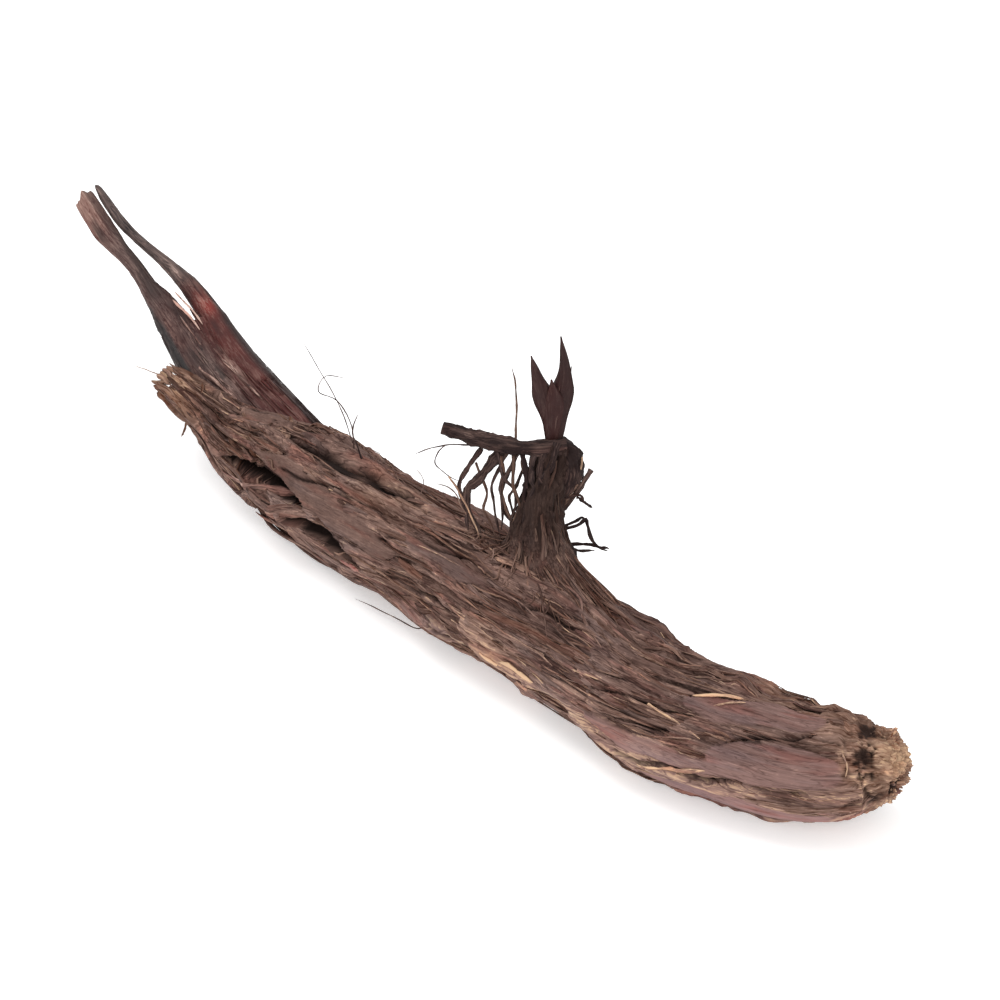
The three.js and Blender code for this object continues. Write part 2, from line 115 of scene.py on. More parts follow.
def streaky(seed: int, along: np.ndarray, round_it: np.ndarray, cells: tuple[int, int]) -> np.ndarray:
    """Smooth random values on a grid that closes on itself round the bark.

    Args:
        seed: The grid's own number.
        along: Places along the bark from 0 to 1.
        round_it: Angles round the bark.
        cells: How many cells the grid has along the bark and round it.

    Returns:
        A value from -1 to 1 for each place.
    """
    rng = np.random.default_rng(seed)
    grid = rng.uniform(-1, 1, (cells[0] + 2, cells[1]))
    x = np.clip(along, 0, 1) * cells[0]
    y = round_it / TURN * cells[1]
    i, j = np.floor(x).astype(int), np.floor(y).astype(int)
    fx, fy = smooth_step(0, 1, x - i), smooth_step(0, 1, y - j)
    left, right = j % cells[1], (j + 1) % cells[1]
    near = grid[i, left] * (1 - fy) + grid[i, right] * fy
    far = grid[i + 1, left] * (1 - fy) + grid[i + 1, right] * fy
    return near * (1 - fx) + far * fx


def crumbly(points: np.ndarray, size: float) -> tuple[np.ndarray, np.ndarray]:
    """How a surface breaks up into crumbs.

    Args:
        points: Places on the surface, one in each row.
        size: The size of a crumb.

    Returns:
        How far each place is from the gap round its crumb, and its crumb's own number from 0 to 1.
    """
    bends, closeness = 0.9, 1.1
    found = []
    for point in points:
        bent = Vector(point / size) + bends * noise.noise_vector(Vector(point * closeness))
        found.append(noise.voronoi(bent))
    far = np.array([distances[1] - distances[0] for distances, _ in found])
    own = np.array([sum(centres[0]) for _, centres in found])
    return far, chance(1, own)


def rugged(points: np.ndarray, size: float) -> np.ndarray:
    """Rough heights of many sizes, about -1 to 1, with the largest lumps of the size given."""
    fall, finer, sizes = 0.7, 2.1, 5
    return np.array([noise.fractal(Vector(point / size), fall, finer, sizes) for point in points])


def spot(t: np.ndarray, across: np.ndarray, middle: Pair, size: Pair) -> np.ndarray:
    """A soft spot, which is 1 at its middle.

    Args:
        t: Places along a limb.
        across: Places across it, or round it.
        middle: The spot's place along the limb and across it.
        size: How far it reaches along and across.

    Returns:
        A share for each place.
    """
    return np.exp(-(((t - middle[0]) / size[0]) ** 2) - ((across - middle[1]) / size[1]) ** 2)


class Draws:
    """Numbers drawn by seeded chance, one for each fibre of a set."""

    def __init__(self, seed: int, count: int) -> None:
        """Starts the draws.

        Args:
            seed: What they start from.
            count: How many fibres the set has.
        """
        self._rng = np.random.default_rng(seed)
        self._count = count

    def between(self, low: float, high: float) -> np.ndarray:
        """A column of numbers between two ends."""
        return self._rng.uniform(low, high, (self._count, 1))

    def row(self, low: float, high: float) -> np.ndarray:
        """A row of numbers between two ends."""
        return self.between(low, high)[:, 0]

    def round_zero(self, spread: float) -> np.ndarray:
        """A column of numbers that gather round 0."""
        return self._rng.normal(0, spread, (self._count, 1))


def steps(rings: int) -> np.ndarray:
    """How far along a fibre each of its rings is, as a row from 0 to 1."""
    return np.linspace(0, 1, rings)[None, :]


@dataclass(frozen=True)
class Station:
    """One place on a limb's line, with its half width and half height."""

    at: Triple
    wide: float
    high: float


@dataclass
class Place:
    """How a limb lies at some places: its middle, directions and size."""

    middle: np.ndarray
    ahead: np.ndarray
    out: np.ndarray
    up: np.ndarray
    size: np.ndarray


class Limb:
    """The line through a limb's stations, measured along its length as in the CAD part."""

    DIVISIONS = 200
    NUDGE = 0.0001

    def __init__(self, stations: list[Station], facing: Triple = UPWARD) -> None:
        """Measures the line.

        Args:
            stations: The places that the limb runs through.
            facing: The way that its height faces.
        """
        self._line = np.array([station.at for station in stations]) - MIDDLE
        self._size = np.array([(station.wide, station.high) for station in stations])
        self._facing = np.array(facing)
        self._steps = np.linspace(0, 1, self.DIVISIONS + 1)
        gaps = np.linalg.norm(np.diff(smooth_curve(self._line, self._steps), axis=0), axis=1)
        lengths = np.concatenate(([0.0], np.cumsum(gaps)))
        self.length = float(lengths[-1])
        self._shares = lengths / self.length

    def place(self, t: np.ndarray) -> Place:
        """How the limb lies at some places.

        Args:
            t: Places along it from 0 to 1.

        Returns:
            Its middle, directions and size there.
        """
        step = np.interp(t, self._shares, self._steps)
        further = smooth_curve(self._line, np.minimum(step + self.NUDGE, 1))
        ahead = unit(further - smooth_curve(self._line, np.maximum(step - self.NUDGE, 0)))
        up = unit(self._facing - ahead * (ahead @ self._facing)[..., None])
        size = smooth_curve(self._size, step)
        return Place(smooth_curve(self._line, step), ahead, np.cross(up, ahead), up, size)

    def skin(
        self,
        t: np.ndarray,
        angle: np.ndarray,
        share: np.ndarray | float = 1.0,
        further: np.ndarray | float = 0.0,
    ) -> np.ndarray:
        """Points on the limb's skin.

        Args:
            t: Places along it from 0 to 1.
            angle: Angles round it.
            share: How many times its size out from its middle.
            further: A distance further out.

        Returns:
            A point for each place.
        """
        here = self.place(t)
        across = np.cos(angle) * (here.size[..., 0] * share + further)
        above = np.sin(angle) * (here.size[..., 1] * share + further)
        return here.middle + here.out * across[..., None] + here.up * above[..., None]

    def away(self, t: np.ndarray, angle: np.ndarray) -> np.ndarray:
        """The way straight out of the limb's skin.

        Args:
            t: Places along it.
            angle: Angles round it.

        Returns:
            A direction for each place.
        """
        here = self.place(t)
        across = np.cos(angle) / here.size[..., 0]
        above = np.sin(angle) / here.size[..., 1]
        return unit(here.out * across[..., None] + here.up * above[..., None])


BARK = Limb(
    [
        Station((28.8, -27.4, 4.2), 3.1, 3.1),
        Station((26.8, -27.5, 4.2), 3.7, 3.7),
        Station((21.3, -27.0, 4.2), 4.1, 3.9),
        Station((12.6, -21.4, 4.3), 4.4, 4.0),
        Station((5.2, -12.8, 4.5), 4.6, 4.2),
        Station((-6.1, -0.6, 4.5), 4.4, 4.3),
        Station((-13.1, 7.3, 4.3), 3.9, 3.9),
        Station((-16.7, 10.9, 4.7), 3.1, 2.9),
        Station((-19.5, 13.0, 5.2), 2.3, 2.1),
        Station((-21.6, 15.3, 5.7), 1.6, 1.5),
        Station((-24.7, 18.7, 6.3), 1.25, 1.0),
    ]
)
PRONG = Limb(
    [
        Station((-12.7, 7.4, 4.8), 2.9, 2.2),
        Station((-16.3, 12.6, 5.4), 2.9, 2.1),
        Station((-19.6, 17.9, 6.0), 2.85, 1.8),
        Station((-21.7, 21.4, 6.7), 2.75, 1.35),
        Station((-23.1, 24.3, 7.3), 2.55, 1.0),
        Station((-25.1, 28.3, 8.1), 2.15, 0.7),
        Station((-27.0, 31.4, 9.1), 1.75, 0.55),
        Station((-29.5, 34.7, 10.0), 1.6, 0.45),
        Station((-31.3, 37.7, 10.9), 1.1, 0.4),
    ],
    TILTED,
)
FLAP = Limb(
    [
        Station((-7.2, -2.2, 2.4), 0.8, 1.0),
        Station((-11.0, 0.8, 2.0), 0.9, 0.9),
        Station((-14.2, 4.2, 2.4), 0.8, 0.8),
        Station((-16.7, 7.3, 3.0), 0.6, 0.7),
        Station((-18.4, 10.1, 3.8), 0.4, 0.4),
    ]
)
STUB = Limb(
    [
        Station((3.0, -9.9, 5.0), 6.4, 2.8),
        Station((3.0, -8.5, 8.4), 4.1, 2.1),
        Station((3.2, -6.8, 11.5), 1.9, 1.35),
        Station((3.7, -4.9, 14.0), 1.25, 1.0),
        Station((4.3, -3.6, 16.0), 1.0, 0.85),
    ],
    ACROSS,
)
CROSSPIECE = Limb(
    [
        Station((5.2, -4.0, 16.1), 0.6, 0.6),
        Station((2.1, -4.4, 16.3), 0.6, 0.55),
        Station((-1.1, -4.0, 16.8), 0.55, 0.5),
        Station((-4.0, -3.6, 17.6), 0.38, 0.36),
    ]
)
HOOK = Limb(
    [
        Station((4.3, -3.3, 15.9), 0.55, 0.55),
        Station((5.3, -3.7, 15.5), 0.75, 0.7),
        Station((5.5, -4.3, 14.2), 0.85, 0.75),
        Station((4.7, -5.2, 12.8), 0.75, 0.7),
        Station((3.8, -6.2, 11.8), 0.5, 0.5),
    ],
    BACKWARD,
)


@dataclass(frozen=True)
class StreakRow:
    """A row of long low ridges or cracks, drawn by chance as in the CAD part."""

    seed: int
    count: int
    height: Pair
    spread: Pair
    reach: Pair
    drift: float = 0.9
    sway: float = 0.16
    waves: float = 9.0

    def lift(self, t: np.ndarray, angle: np.ndarray) -> np.ndarray:
        """How far the row lifts the bark.

        Args:
            t: Places along the bark.
            angle: Angles round it.

        Returns:
            A lift for each place.
        """
        total = np.zeros(np.broadcast(t, angle).shape)
        for i in range(self.count):
            start = TURN * (i + 0.8 * chance(self.seed, i)) / self.count
            middle = chance(self.seed, i + 100)
            reach = self._between(self.reach, i + 200)
            height = self._between(self.height, i + 300)
            spread = self._between(self.spread, i + 400)
            drift = self.drift * (chance(self.seed, i + 500) - 0.5)
            sway = self.sway * chance(self.seed, i + 600)
            phase = TURN * chance(self.seed, i + 700)
            along = (t - middle) / reach
            course = start + drift * (t - middle) + sway * np.sin(self.waves * t + phase)
            across = wrapped(angle - course) / spread
            total += np.where(np.abs(along) < 1, height * (1 - along**2) * np.exp(-(across**2)), 0)
        return total

    def _between(self, ends: Pair, place: int) -> float:
        """A number between two ends, drawn by chance."""
        return ends[0] + (ends[1] - ends[0]) * chance(self.seed, place)


def wrapped(angle: np.ndarray) -> np.ndarray:
    """Angles brought to between minus half a turn and half a turn."""
    return angle - TURN * np.round(angle / TURN)


@dataclass(frozen=True)
class Strip:
    """A narrow area along the bark: a crack, a gash or a smooth plate."""

    course: tuple[Pair, ...]
    wide: float
    flat: float = 0.0
    depth: float = 0.0
    wave: float = 0.03

    def share(self, t: np.ndarray, angle: np.ndarray, girth: np.ndarray) -> np.ndarray:
        """How much each place belongs to the strip.

        Args:
            t: Places along the bark.
            angle: Angles round it.
            girth: The bark's half width there.

        Returns:
            1 in the strip's middle, down to 0 outside it.
        """
        course = np.array(sorted(self.course))
        along = (t - course[0, 0]) / (course[-1, 0] - course[0, 0])
        taper = np.sqrt(np.clip(4 * along * (1 - along), 0, 1))
        middle = np.interp(t, course[:, 0], course[:, 1]) + self.wave * np.sin(95 * t + 7 * self.wide)
        across = np.abs(wrapped(angle - middle)) * girth / (self.wide * np.maximum(taper, 0.05))
        return np.minimum(taper * 3, 1) * (1 - smooth_step(self.flat, 1, across))


CRACKS = (
    Strip(((0.16, 0.62), (0.131, 0.9), (0.109, 1.02), (0.091, 1.1), (0.074, 1.2)), 0.24, depth=0.5),
    Strip(((0.3, 0.6), (0.25, 0.79), (0.219, 0.88), (0.185, 0.94)), 0.24, depth=0.5),
    Strip(((0.32, 0.86), (0.27, 0.95), (0.23, 1.07)), 0.2, depth=0.4),
    Strip(((0.257, 0.36), (0.234, 0.46), (0.208, 0.51)), 0.22, depth=0.4),
    Strip(((0.262, -0.28), (0.217, -0.14), (0.189, -0.1), (0.159, -0.04), (0.125, 0.02)), 0.26, depth=0.55),
    Strip(((0.12, 0.03), (0.1, 0.03), (0.077, 0.05)), 0.2, depth=0.4),
    Strip(
        ((0.54, -0.2), (0.52, -0.27), (0.486, -0.29), (0.457, -0.44), (0.43, -0.56), (0.39, -0.6)),
        0.5, depth=1.0,
    ),
    Strip(
        ((0.82, 1.34), (0.794, 1.38), (0.75, 1.36), (0.71, 1.4), (0.671, 1.44), (0.63, 1.55)),
        0.7, depth=0.85,
    ),
    Strip(
        ((0.8, 0.7), (0.776, 0.76), (0.739, 0.86), (0.7, 0.96), (0.661, 1.01), (0.62, 0.98)),
        0.26, depth=0.5,
    ),
    Strip(((0.42, 1.02), (0.4, 1.08), (0.374, 1.1), (0.35, 1.2)), 0.32, depth=0.6),
    Strip(((0.6, 0.95), (0.53, 1.1), (0.47, 1.15)), 0.24, depth=0.4),
    Strip(((0.62, 0.1), (0.55, 0.22), (0.49, 0.2)), 0.22, depth=0.4),
)
GASH = (
    Strip(
        ((0.889, 0.0), (0.857, 0.19), (0.83, 0.36), (0.8, 0.4), (0.772, 0.36), (0.742, 0.36)),
        0.66, 0.65, 1.9, 0.0,
    ),
    Strip(
        ((0.77, 0.03), (0.74, 0.06), (0.717, 0.06), (0.69, 0.03), (0.66, 0.0), (0.64, 0.0)),
        0.62, 0.6, 1.9, 0.0,
    ),
)
PLATES = (
    Strip(
        ((0.21, 1.15), (0.17, 1.2), (0.153, 1.34), (0.126, 1.42), (0.1, 1.45), (0.065, 1.42)),
        1.25, 0.85,
    ),
    Strip(((0.165, 0.42), (0.107, 0.52), (0.052, 0.56)), 1.75, 0.88),
    Strip(((0.3, 0.02), (0.25, 0.04), (0.217, 0.1), (0.183, 0.14), (0.13, 0.18)), 0.85, 0.85),
    Strip(
        ((0.84, 0.78), (0.791, 0.78), (0.751, 0.66), (0.704, 0.57), (0.66, 0.52), (0.6, 0.52)),
        1.15, 0.88,
    ),
    Strip(((0.9, 1.75), (0.86, 1.9), (0.82, 2.0)), 1.3, 0.8),
    Strip(((0.24, -0.5), (0.156, -0.5), (0.06, -0.5)), 1.3, 0.85),
    Strip(((0.6, 0.92), (0.55, 0.95), (0.48, 0.92)), 0.85, 0.7),
)


def covered(strips: tuple[Strip, ...], t: np.ndarray, angle: np.ndarray, girth: np.ndarray) -> np.ndarray:
    """The largest share of several strips at each place."""
    return np.max([strip.share(t, angle, girth) for strip in strips], axis=0)


def sunk(strips: tuple[Strip, ...], t: np.ndarray, angle: np.ndarray, girth: np.ndarray) -> np.ndarray:
    """How deep the deepest of several strips is at each place."""
    return np.max([strip.depth * strip.share(t, angle, girth) for strip in strips], axis=0)


@dataclass(frozen=True)
class BarkRelief:
    """Everything that lifts the bark out of its plain shape.

    A pair of a knob or the swelling holds a place, range or size along the bark and one round it.
    """

    ridges: StreakRow = StreakRow(3, 28, (0.3, 0.8), (0.09, 0.16), (0.16, 0.5))
    cracks: StreakRow = StreakRow(5, 16, (-0.9, -0.4), (0.07, 0.12), (0.06, 0.24))
    knobs: int = 18
    knob_seed: int = 7
    knob_height: float = 0.5
    lowest: float = -1.2
    highest: float = 0.9
    knob_from: Pair = (0.03, 1.2)
    knob_reach: Pair = (0.46, 1.4)
    knob_size: Pair = (0.014, 0.17)
    swelling: Pair = (0.76, 2.25)
    swelling_size: Pair = (0.07, 0.5)
    swelling_height: float = 0.5
    plate_evens: float = 0.6
    plate_lift: float = 0.3
    bundle: float = 0.34
    strand: float = 0.22
    thread: float = 0.09
    flake: float = 0.22
    slit: float = 0.4
    grit: float = 0.03

    def broad(self, t: np.ndarray, angle: np.ndarray) -> np.ndarray:
        """The CAD part's own relief: ridges, cracks, knobs and slow lumps.

        Args:
            t: Places along the bark.
            angle: Angles round it.

        Returns:
            A lift for each place.
        """
        streaked = self.ridges.lift(t, angle) + self.cracks.lift(t, angle)
        streaked = np.clip(streaked, self.lowest, self.highest)
        knobbed = np.zeros_like(streaked)
        for i in range(self.knobs):
            place = self.knob_from[0] + self.knob_reach[0] * chance(self.knob_seed, i)
            side = self.knob_from[1] + self.knob_reach[1] * chance(self.knob_seed, i + 100)
            height = self.knob_height * (0.5 + 0.5 * chance(self.knob_seed, i + 200))
            knobbed += height * spot(t, wrapped(angle - side), (place, 0.0), self.knob_size)
        lumpy = 0.22 * np.sin(17 * t + 1.3 * np.sin(2 * angle)) + 0.14 * np.sin(41 * t + 3 * angle)
        place, side = self.swelling
        lumpy += self.swelling_height * spot(t, wrapped(angle - side), (place, 0.0), self.swelling_size)
        return (streaked + knobbed + lumpy) * np.minimum(1, 0.35 + (1 - t) * 5)

    def level(self, t: np.ndarray, angle: np.ndarray) -> np.ndarray:
        """The broad relief, evened out where the skin is a smooth plate and sunk in the gash.

        Args:
            t: Places along the bark.
            angle: Angles round it.

        Returns:
            A lift for each place.
        """
        girth = BARK.place(t).size[..., 0]
        plate = covered(PLATES, t, angle, girth)
        evened = self.broad(t, angle) * (1 - self.plate_evens * plate) + self.plate_lift * plate
        return evened - sunk(GASH, t, angle, girth)

    @staticmethod
    def flow(t: np.ndarray) -> np.ndarray:
        """How far the bark's fibres have drifted round it at t."""
        return 0.22 * np.sin(5.5 * t + 0.6) + 0.08 * np.sin(13 * t)

    @staticmethod
    def opened(t: np.ndarray, angle: np.ndarray) -> np.ndarray:
        """Where the skin has crumbled off the broken end: 1 there, and 0 on the bark."""
        edge = 0.036 + 0.012 * streaky(75, t * 0 + 0.5, angle, (2, 13)) + 0.008 * np.sin(2 * angle)
        return 1 - smooth_step(-0.003, 0.003, t - edge)

    def fine(self, t: np.ndarray, angle: np.ndarray, plate: np.ndarray) -> np.ndarray:
        """The bundles, strands and flakes that the CAD part is too coarse for.

        Args:
            t: Places along the bark.
            angle: Angles round it.
            plate: How much each place is on a smooth plate.

        Returns:
            A lift for each place.
        """
        drifted = angle - self.flow(t) + 0.12 * streaky(61, t, angle, (12, 7))
        bundle = 1 - np.abs(streaky(62, t, drifted, (11, 22)))
        strand = 1 - np.abs(streaky(63, t, drifted, (24, 46)))
        thread = streaky(64, t, drifted, (46, 92))
        flaked = streaky(67, t, drifted, (17, 20)) + 0.35 * streaky(68, t, drifted, (40, 56))
        flake = smooth_step(0.12, 0.2, flaked)
        lift = self.bundle * (bundle**2 - 0.45) + self.strand * (strand**2 - 0.4)
        lift += self.thread * thread + self.flake * (flake - 0.5)
        slit = smooth_step(0.9, 1.0, 1 - np.abs(streaky(65, t, drifted, (9, 19))))
        lift -= self.slit * slit * smooth_step(-0.1, 0.3, streaky(69, t, angle, (14, 9)))
        grit = streaky(66, t, angle, (230, 64))
        return lift * (1 - 0.85 * plate) * (1 - self.opened(t, angle)) + self.grit * grit


RELIEF = BarkRelief()


class Grain(Enum):
    """The attributes of a mesh that its finish reads."""

    PLACE = "grain"
    TONE = "tone"
    # Painted shade in hollows, cracks, grooves, gaps and up the shaded stub, and some own darker colour,
    # such as the blades'.
    PAINTED_SHADE_AND_DARK = "hollow"
    WARM = "warm"
    PLUM = "plum"
    CALM = "calm"


def grid_tube(rings: int, sides: int) -> tuple[bpy.types.Mesh, np.ndarray, np.ndarray]:
    """A tube that is spun from one straight line, before it is shaped.

    Args:
        rings: How many rings of points it has.
        sides: How many points each ring has.

    Returns:
        The mesh, and each point's ring and angle.
    """
    shape = bmesh.new()
    ends = [shape.verts.new((0, 1, 0)), shape.verts.new((1, 1, 0))]
    line = shape.edges.new(ends)
    bmesh.ops.subdivide_edges(shape, edges=[line], cuts=rings - 2)
    bmesh.ops.spin(
        shape,
        geom=shape.verts[:] + shape.edges[:],
        cent=(0, 0, 0),
        axis=(1, 0, 0),
        dvec=(0, 0, 0),
        angle=TURN,
        steps=sides,
        use_merge=True,
    )
    mesh = bpy.data.meshes.new("tube")
    shape.to_mesh(mesh)
    shape.free()
    points = read_points(mesh)
    ring = np.rint(points[:, 0] * (rings - 1)).astype(int)
    side = np.rint(np.arctan2(points[:, 2], points[:, 1]) / TURN * sides) % sides
    return mesh, ring, side / sides * TURN


def row_of_tubes(count: int, rings: int, sides: int) -> tuple[bpy.types.Mesh, *tuple[np.ndarray, ...]]:
    """A row of equal closed tubes, before they are shaped.

    Args:
        count: How many tubes.
        rings: How many rings of points each has.
        sides: How many points each ring has.

    Returns:
        The mesh, and each point's tube, ring, angle and share of the radius.
    """
    shape = bmesh.new()
    bmesh.ops.create_cone(shape, cap_ends=True, cap_tris=True, segments=sides, radius1=1, radius2=1, depth=1)
    long = [edge for edge in shape.edges if abs(edge.verts[0].co.z - edge.verts[1].co.z) > 0.5]
    bmesh.ops.subdivide_edges(shape, edges=long, cuts=rings - 2, use_grid_fill=True)
    bmesh.ops.translate(shape, verts=shape.verts, vec=(0, 0, 0.5))
    if count > 1:
        bmesh.ops.spin(
            shape,
            geom=shape.verts[:] + shape.edges[:] + shape.faces[:],
            cent=(0, 0, 0),
            axis=(0, 0, 1),
            dvec=(0, 0, 2),
            angle=0,
            steps=count - 1,
            use_duplicate=True,
        )
    mesh = bpy.data.meshes.new("tubes")
    shape.to_mesh(mesh)
    shape.free()
    points = read_points(mesh)
    tube = np.floor((points[:, 2] + 0.25) / 2).astype(int)
    ring = np.rint((points[:, 2] - 2 * tube) * (rings - 1)).astype(int)
    share = np.hypot(points[:, 0], points[:, 1])
    return mesh, tube, ring, np.arctan2(points[:, 1], points[:, 0]), share


def read_points(mesh: bpy.types.Mesh) -> np.ndarray:
    """The places of a mesh's points, one in each row."""
    points = np.zeros(len(mesh.vertices) * 3, np.float32)
    mesh.vertices.foreach_get("co", points)
    return points.reshape(-1, 3).astype(float)


def write_points(mesh: bpy.types.Mesh, points: np.ndarray) -> None:
    """Moves a mesh's points, and none of them under the floor.

    Args:
        mesh: The mesh.
        points: The new places, in millimetres.
    """
    placed = points.copy()
    placed[:, 2] = np.maximum(placed[:, 2], LOWEST)
    mesh.vertices.foreach_set("co", (placed * METRES).astype(np.float32).ravel())
    mesh.update()


def write_grains(mesh: bpy.types.Mesh, place: np.ndarray, **shares: np.ndarray | float) -> None:
    """Stores what a finish reads at each point.

    Args:
        mesh: The mesh.
        place: Where each point lies in the grain: along it, and twice across it.
        **shares: The value of each other attribute, which is 0 where none is given.
    """
    made = mesh.attributes.new(Grain.PLACE.value, "FLOAT_VECTOR", "POINT")
    made.data.foreach_set("vector", place.astype(np.float32).ravel())
    for kind in Grain:
        if kind is not Grain.PLACE:
            values = np.broadcast_to(shares.get(kind.value, 0.0), len(place))
            made = mesh.attributes.new(kind.value, "FLOAT", "POINT")
            made.data.foreach_set("value", values.astype(np.float32))


def settle(mesh: bpy.types.Mesh, name: str, material: bpy.types.Material) -> bpy.types.Object:
    """Welds a shaped mesh, turns its faces outwards and puts it in the scene as a piece of the root.

    Args:
        mesh: The shaped mesh.
        name: The piece's name.
        material: Its finish.

    Returns:
        The piece, which rides on the root.
    """
    shape = bmesh.new()
    shape.from_mesh(mesh)
    bmesh.ops.remove_doubles(shape, verts=shape.verts, dist=1e-7)
    bmesh.ops.dissolve_degenerate(shape, edges=shape.edges, dist=1e-8)
    bmesh.ops.recalc_face_normals(shape, faces=shape.faces)
    for face in shape.faces:
        face.smooth = True
    shape.to_mesh(mesh)
    shape.free()
    mesh.name = name
    mesh.materials.append(material)
    piece = bpy.data.objects.new(name, mesh)
    bpy.context.scene.collection.objects.link(piece)
    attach(piece, "root")
    LOG.info("%s: %d triangles", name, sum(len(polygon.vertices) - 2 for polygon in mesh.polygons))
    return piece


class Value:
    """A socket that numbers and other values can be added to, taken from or multiplied with."""

    def __init__(self, nodes: "NodeMaker", socket: Socket) -> None:
        """Wraps the socket.

        Args:
            nodes: What makes the nodes of the same material.
            socket: The socket that gives the value.
        """
        self.nodes = nodes
        self.socket = socket

    def _with(self, operation: str, first: "Value | float", second: "Value | float") -> "Value":
        """The value of a Math node."""
        return self.nodes.value("ShaderNodeMath", {"operation": operation}, {0: first, 1: second})

    def __add__(self, other: "Value | float") -> "Value":
        """This and another value together."""
        return self._with("ADD", self, other)

    __radd__ = __add__

    def __sub__(self, other: "Value | float") -> "Value":
        """This value less another."""
        return self._with("SUBTRACT", self, other)

    def __rsub__(self, other: "Value | float") -> "Value":
        """Another value less this one."""
        return self._with("SUBTRACT", other, self)

    def __mul__(self, other: "Value | float") -> "Value":
        """This value times another."""
        return self._with("MULTIPLY", self, other)

    __rmul__ = __mul__

    def near(self, middle: float, width: float) -> "Value":
        """1 where this value is at the middle, down to 0 at a width from it."""
        away = self.nodes.value("ShaderNodeMath", {"operation": "ABSOLUTE"}, {0: self - middle})
        return (1 - away * (1 / width)).clipped()

    def clipped(self) -> "Value":
        """This value kept between 0 and 1."""
        return self.nodes.value("ShaderNodeClamp", {}, {"Value": self})

    def stretched(self, low: float, high: float) -> "Value":
        """This value stretched so that low becomes 0 and high becomes 1, and kept between them."""
        return ((self - low) * (1 / (high - low))).clipped()


Settings = dict[str, object]
Inputs = dict[str | int, object]


class NodeMaker:
    """Makes the nodes of one material."""

    def __init__(self, name: str) -> None:
        """Starts a material.

        Args:
            name: The material's name.
        """
        self.material = bpy.data.materials.new(name)
        self.material.use_nodes = True
        self.tree = self.material.node_tree
        self.shader = self.tree.nodes["Principled BSDF"]

    def node(self, kind: str, settings: Settings, inputs: Inputs) -> bpy.types.Node:
        """Adds a node.

        Args:
            kind: The node's type.
            settings: What is set on the node itself, with a ramp's stops under "stops".
            inputs: A value or link for each of its sockets.

        Returns:
            The node.
        """
        made = self.tree.nodes.new(kind)
        for key, setting in settings.items():
            if key == "stops":
                self._set_stops(made.color_ramp, setting)
            else:
                setattr(made, key, setting)
        for key, given in inputs.items():
            self.feed(made.inputs[key], given)
        return made

    def value(self, kind: str, settings: Settings, inputs: Inputs, output: str | int = 0) -> Value:
        """Adds a node and gives the value of one of its outputs."""
        return Value(self, self.node(kind, settings, inputs).outputs[output])

    def feed(self, socket: Socket, given: object) -> None:
        """Links a value to a socket, or sets the socket.

        Args:
            socket: The socket.
            given: The value that feeds it, or what it is set to.
        """
        if isinstance(given, Value):
            self.tree.links.new(given.socket, socket)
        else:
            socket.default_value = given

    def mix(self, share: Value | float, first: object, second: object, blend: str = "MIX") -> Value:
        """A colour between two colours."""
        settings = {"data_type": "RGBA", "blend_type": blend}
        return self.value("ShaderNodeMix", settings, {"Factor": share, 6: first, 7: second}, 2)

    def streaks(
        self, place: Value, along: float, across: float, detail: float = 2.0, rough: float = 0.55
    ) -> Value:
        """Smooth noise from 0 to 1, drawn out along the grain.

        Args:
            place: The places in the grain.
            along: How many cells it has in a millimetre along the grain.
            across: How many it has across the grain.
            detail: How many finer noises are added.
            rough: How strong those are.

        Returns:
            The noise.
        """
        scale = {0: place, 1: (along, across, across)}
        scaled = self.value("ShaderNodeVectorMath", {"operation": "MULTIPLY"}, scale)
        inputs = {"Vector": scaled, "Scale": 1.0, "Detail": detail, "Roughness": rough}
        return self.value("ShaderNodeTexNoise", {}, inputs)

    def own(self, kind: Grain) -> Value:
        """What a mesh stores for its finish."""
        output = "Vector" if kind is Grain.PLACE else "Fac"
        return self.value("ShaderNodeAttribute", {"attribute_name": kind.value}, {}, output)

    @staticmethod
    def _set_stops(ramp: bpy.types.ColorRamp, stops: list[tuple[float, tuple[float, ...]]]) -> None:
        """Gives a ramp its stops.

        Args:
            ramp: The ramp.
            stops: The place and the colour of each stop.
        """
        while len(ramp.elements) < len(stops):
            ramp.elements.new(1.0)
        for element, (position, colour) in zip(ramp.elements, stops):
            element.position = position
            element.color = colour


def tint(red: int, green: int, blue: int) -> tuple[float, float, float, float]:
    """A colour of a shader from its red, green and blue on a screen, each from 11 to 255."""
    return (*[((part / 255 + 0.055) / 1.055) ** 2.4 for part in (red, green, blue)], 1.0)


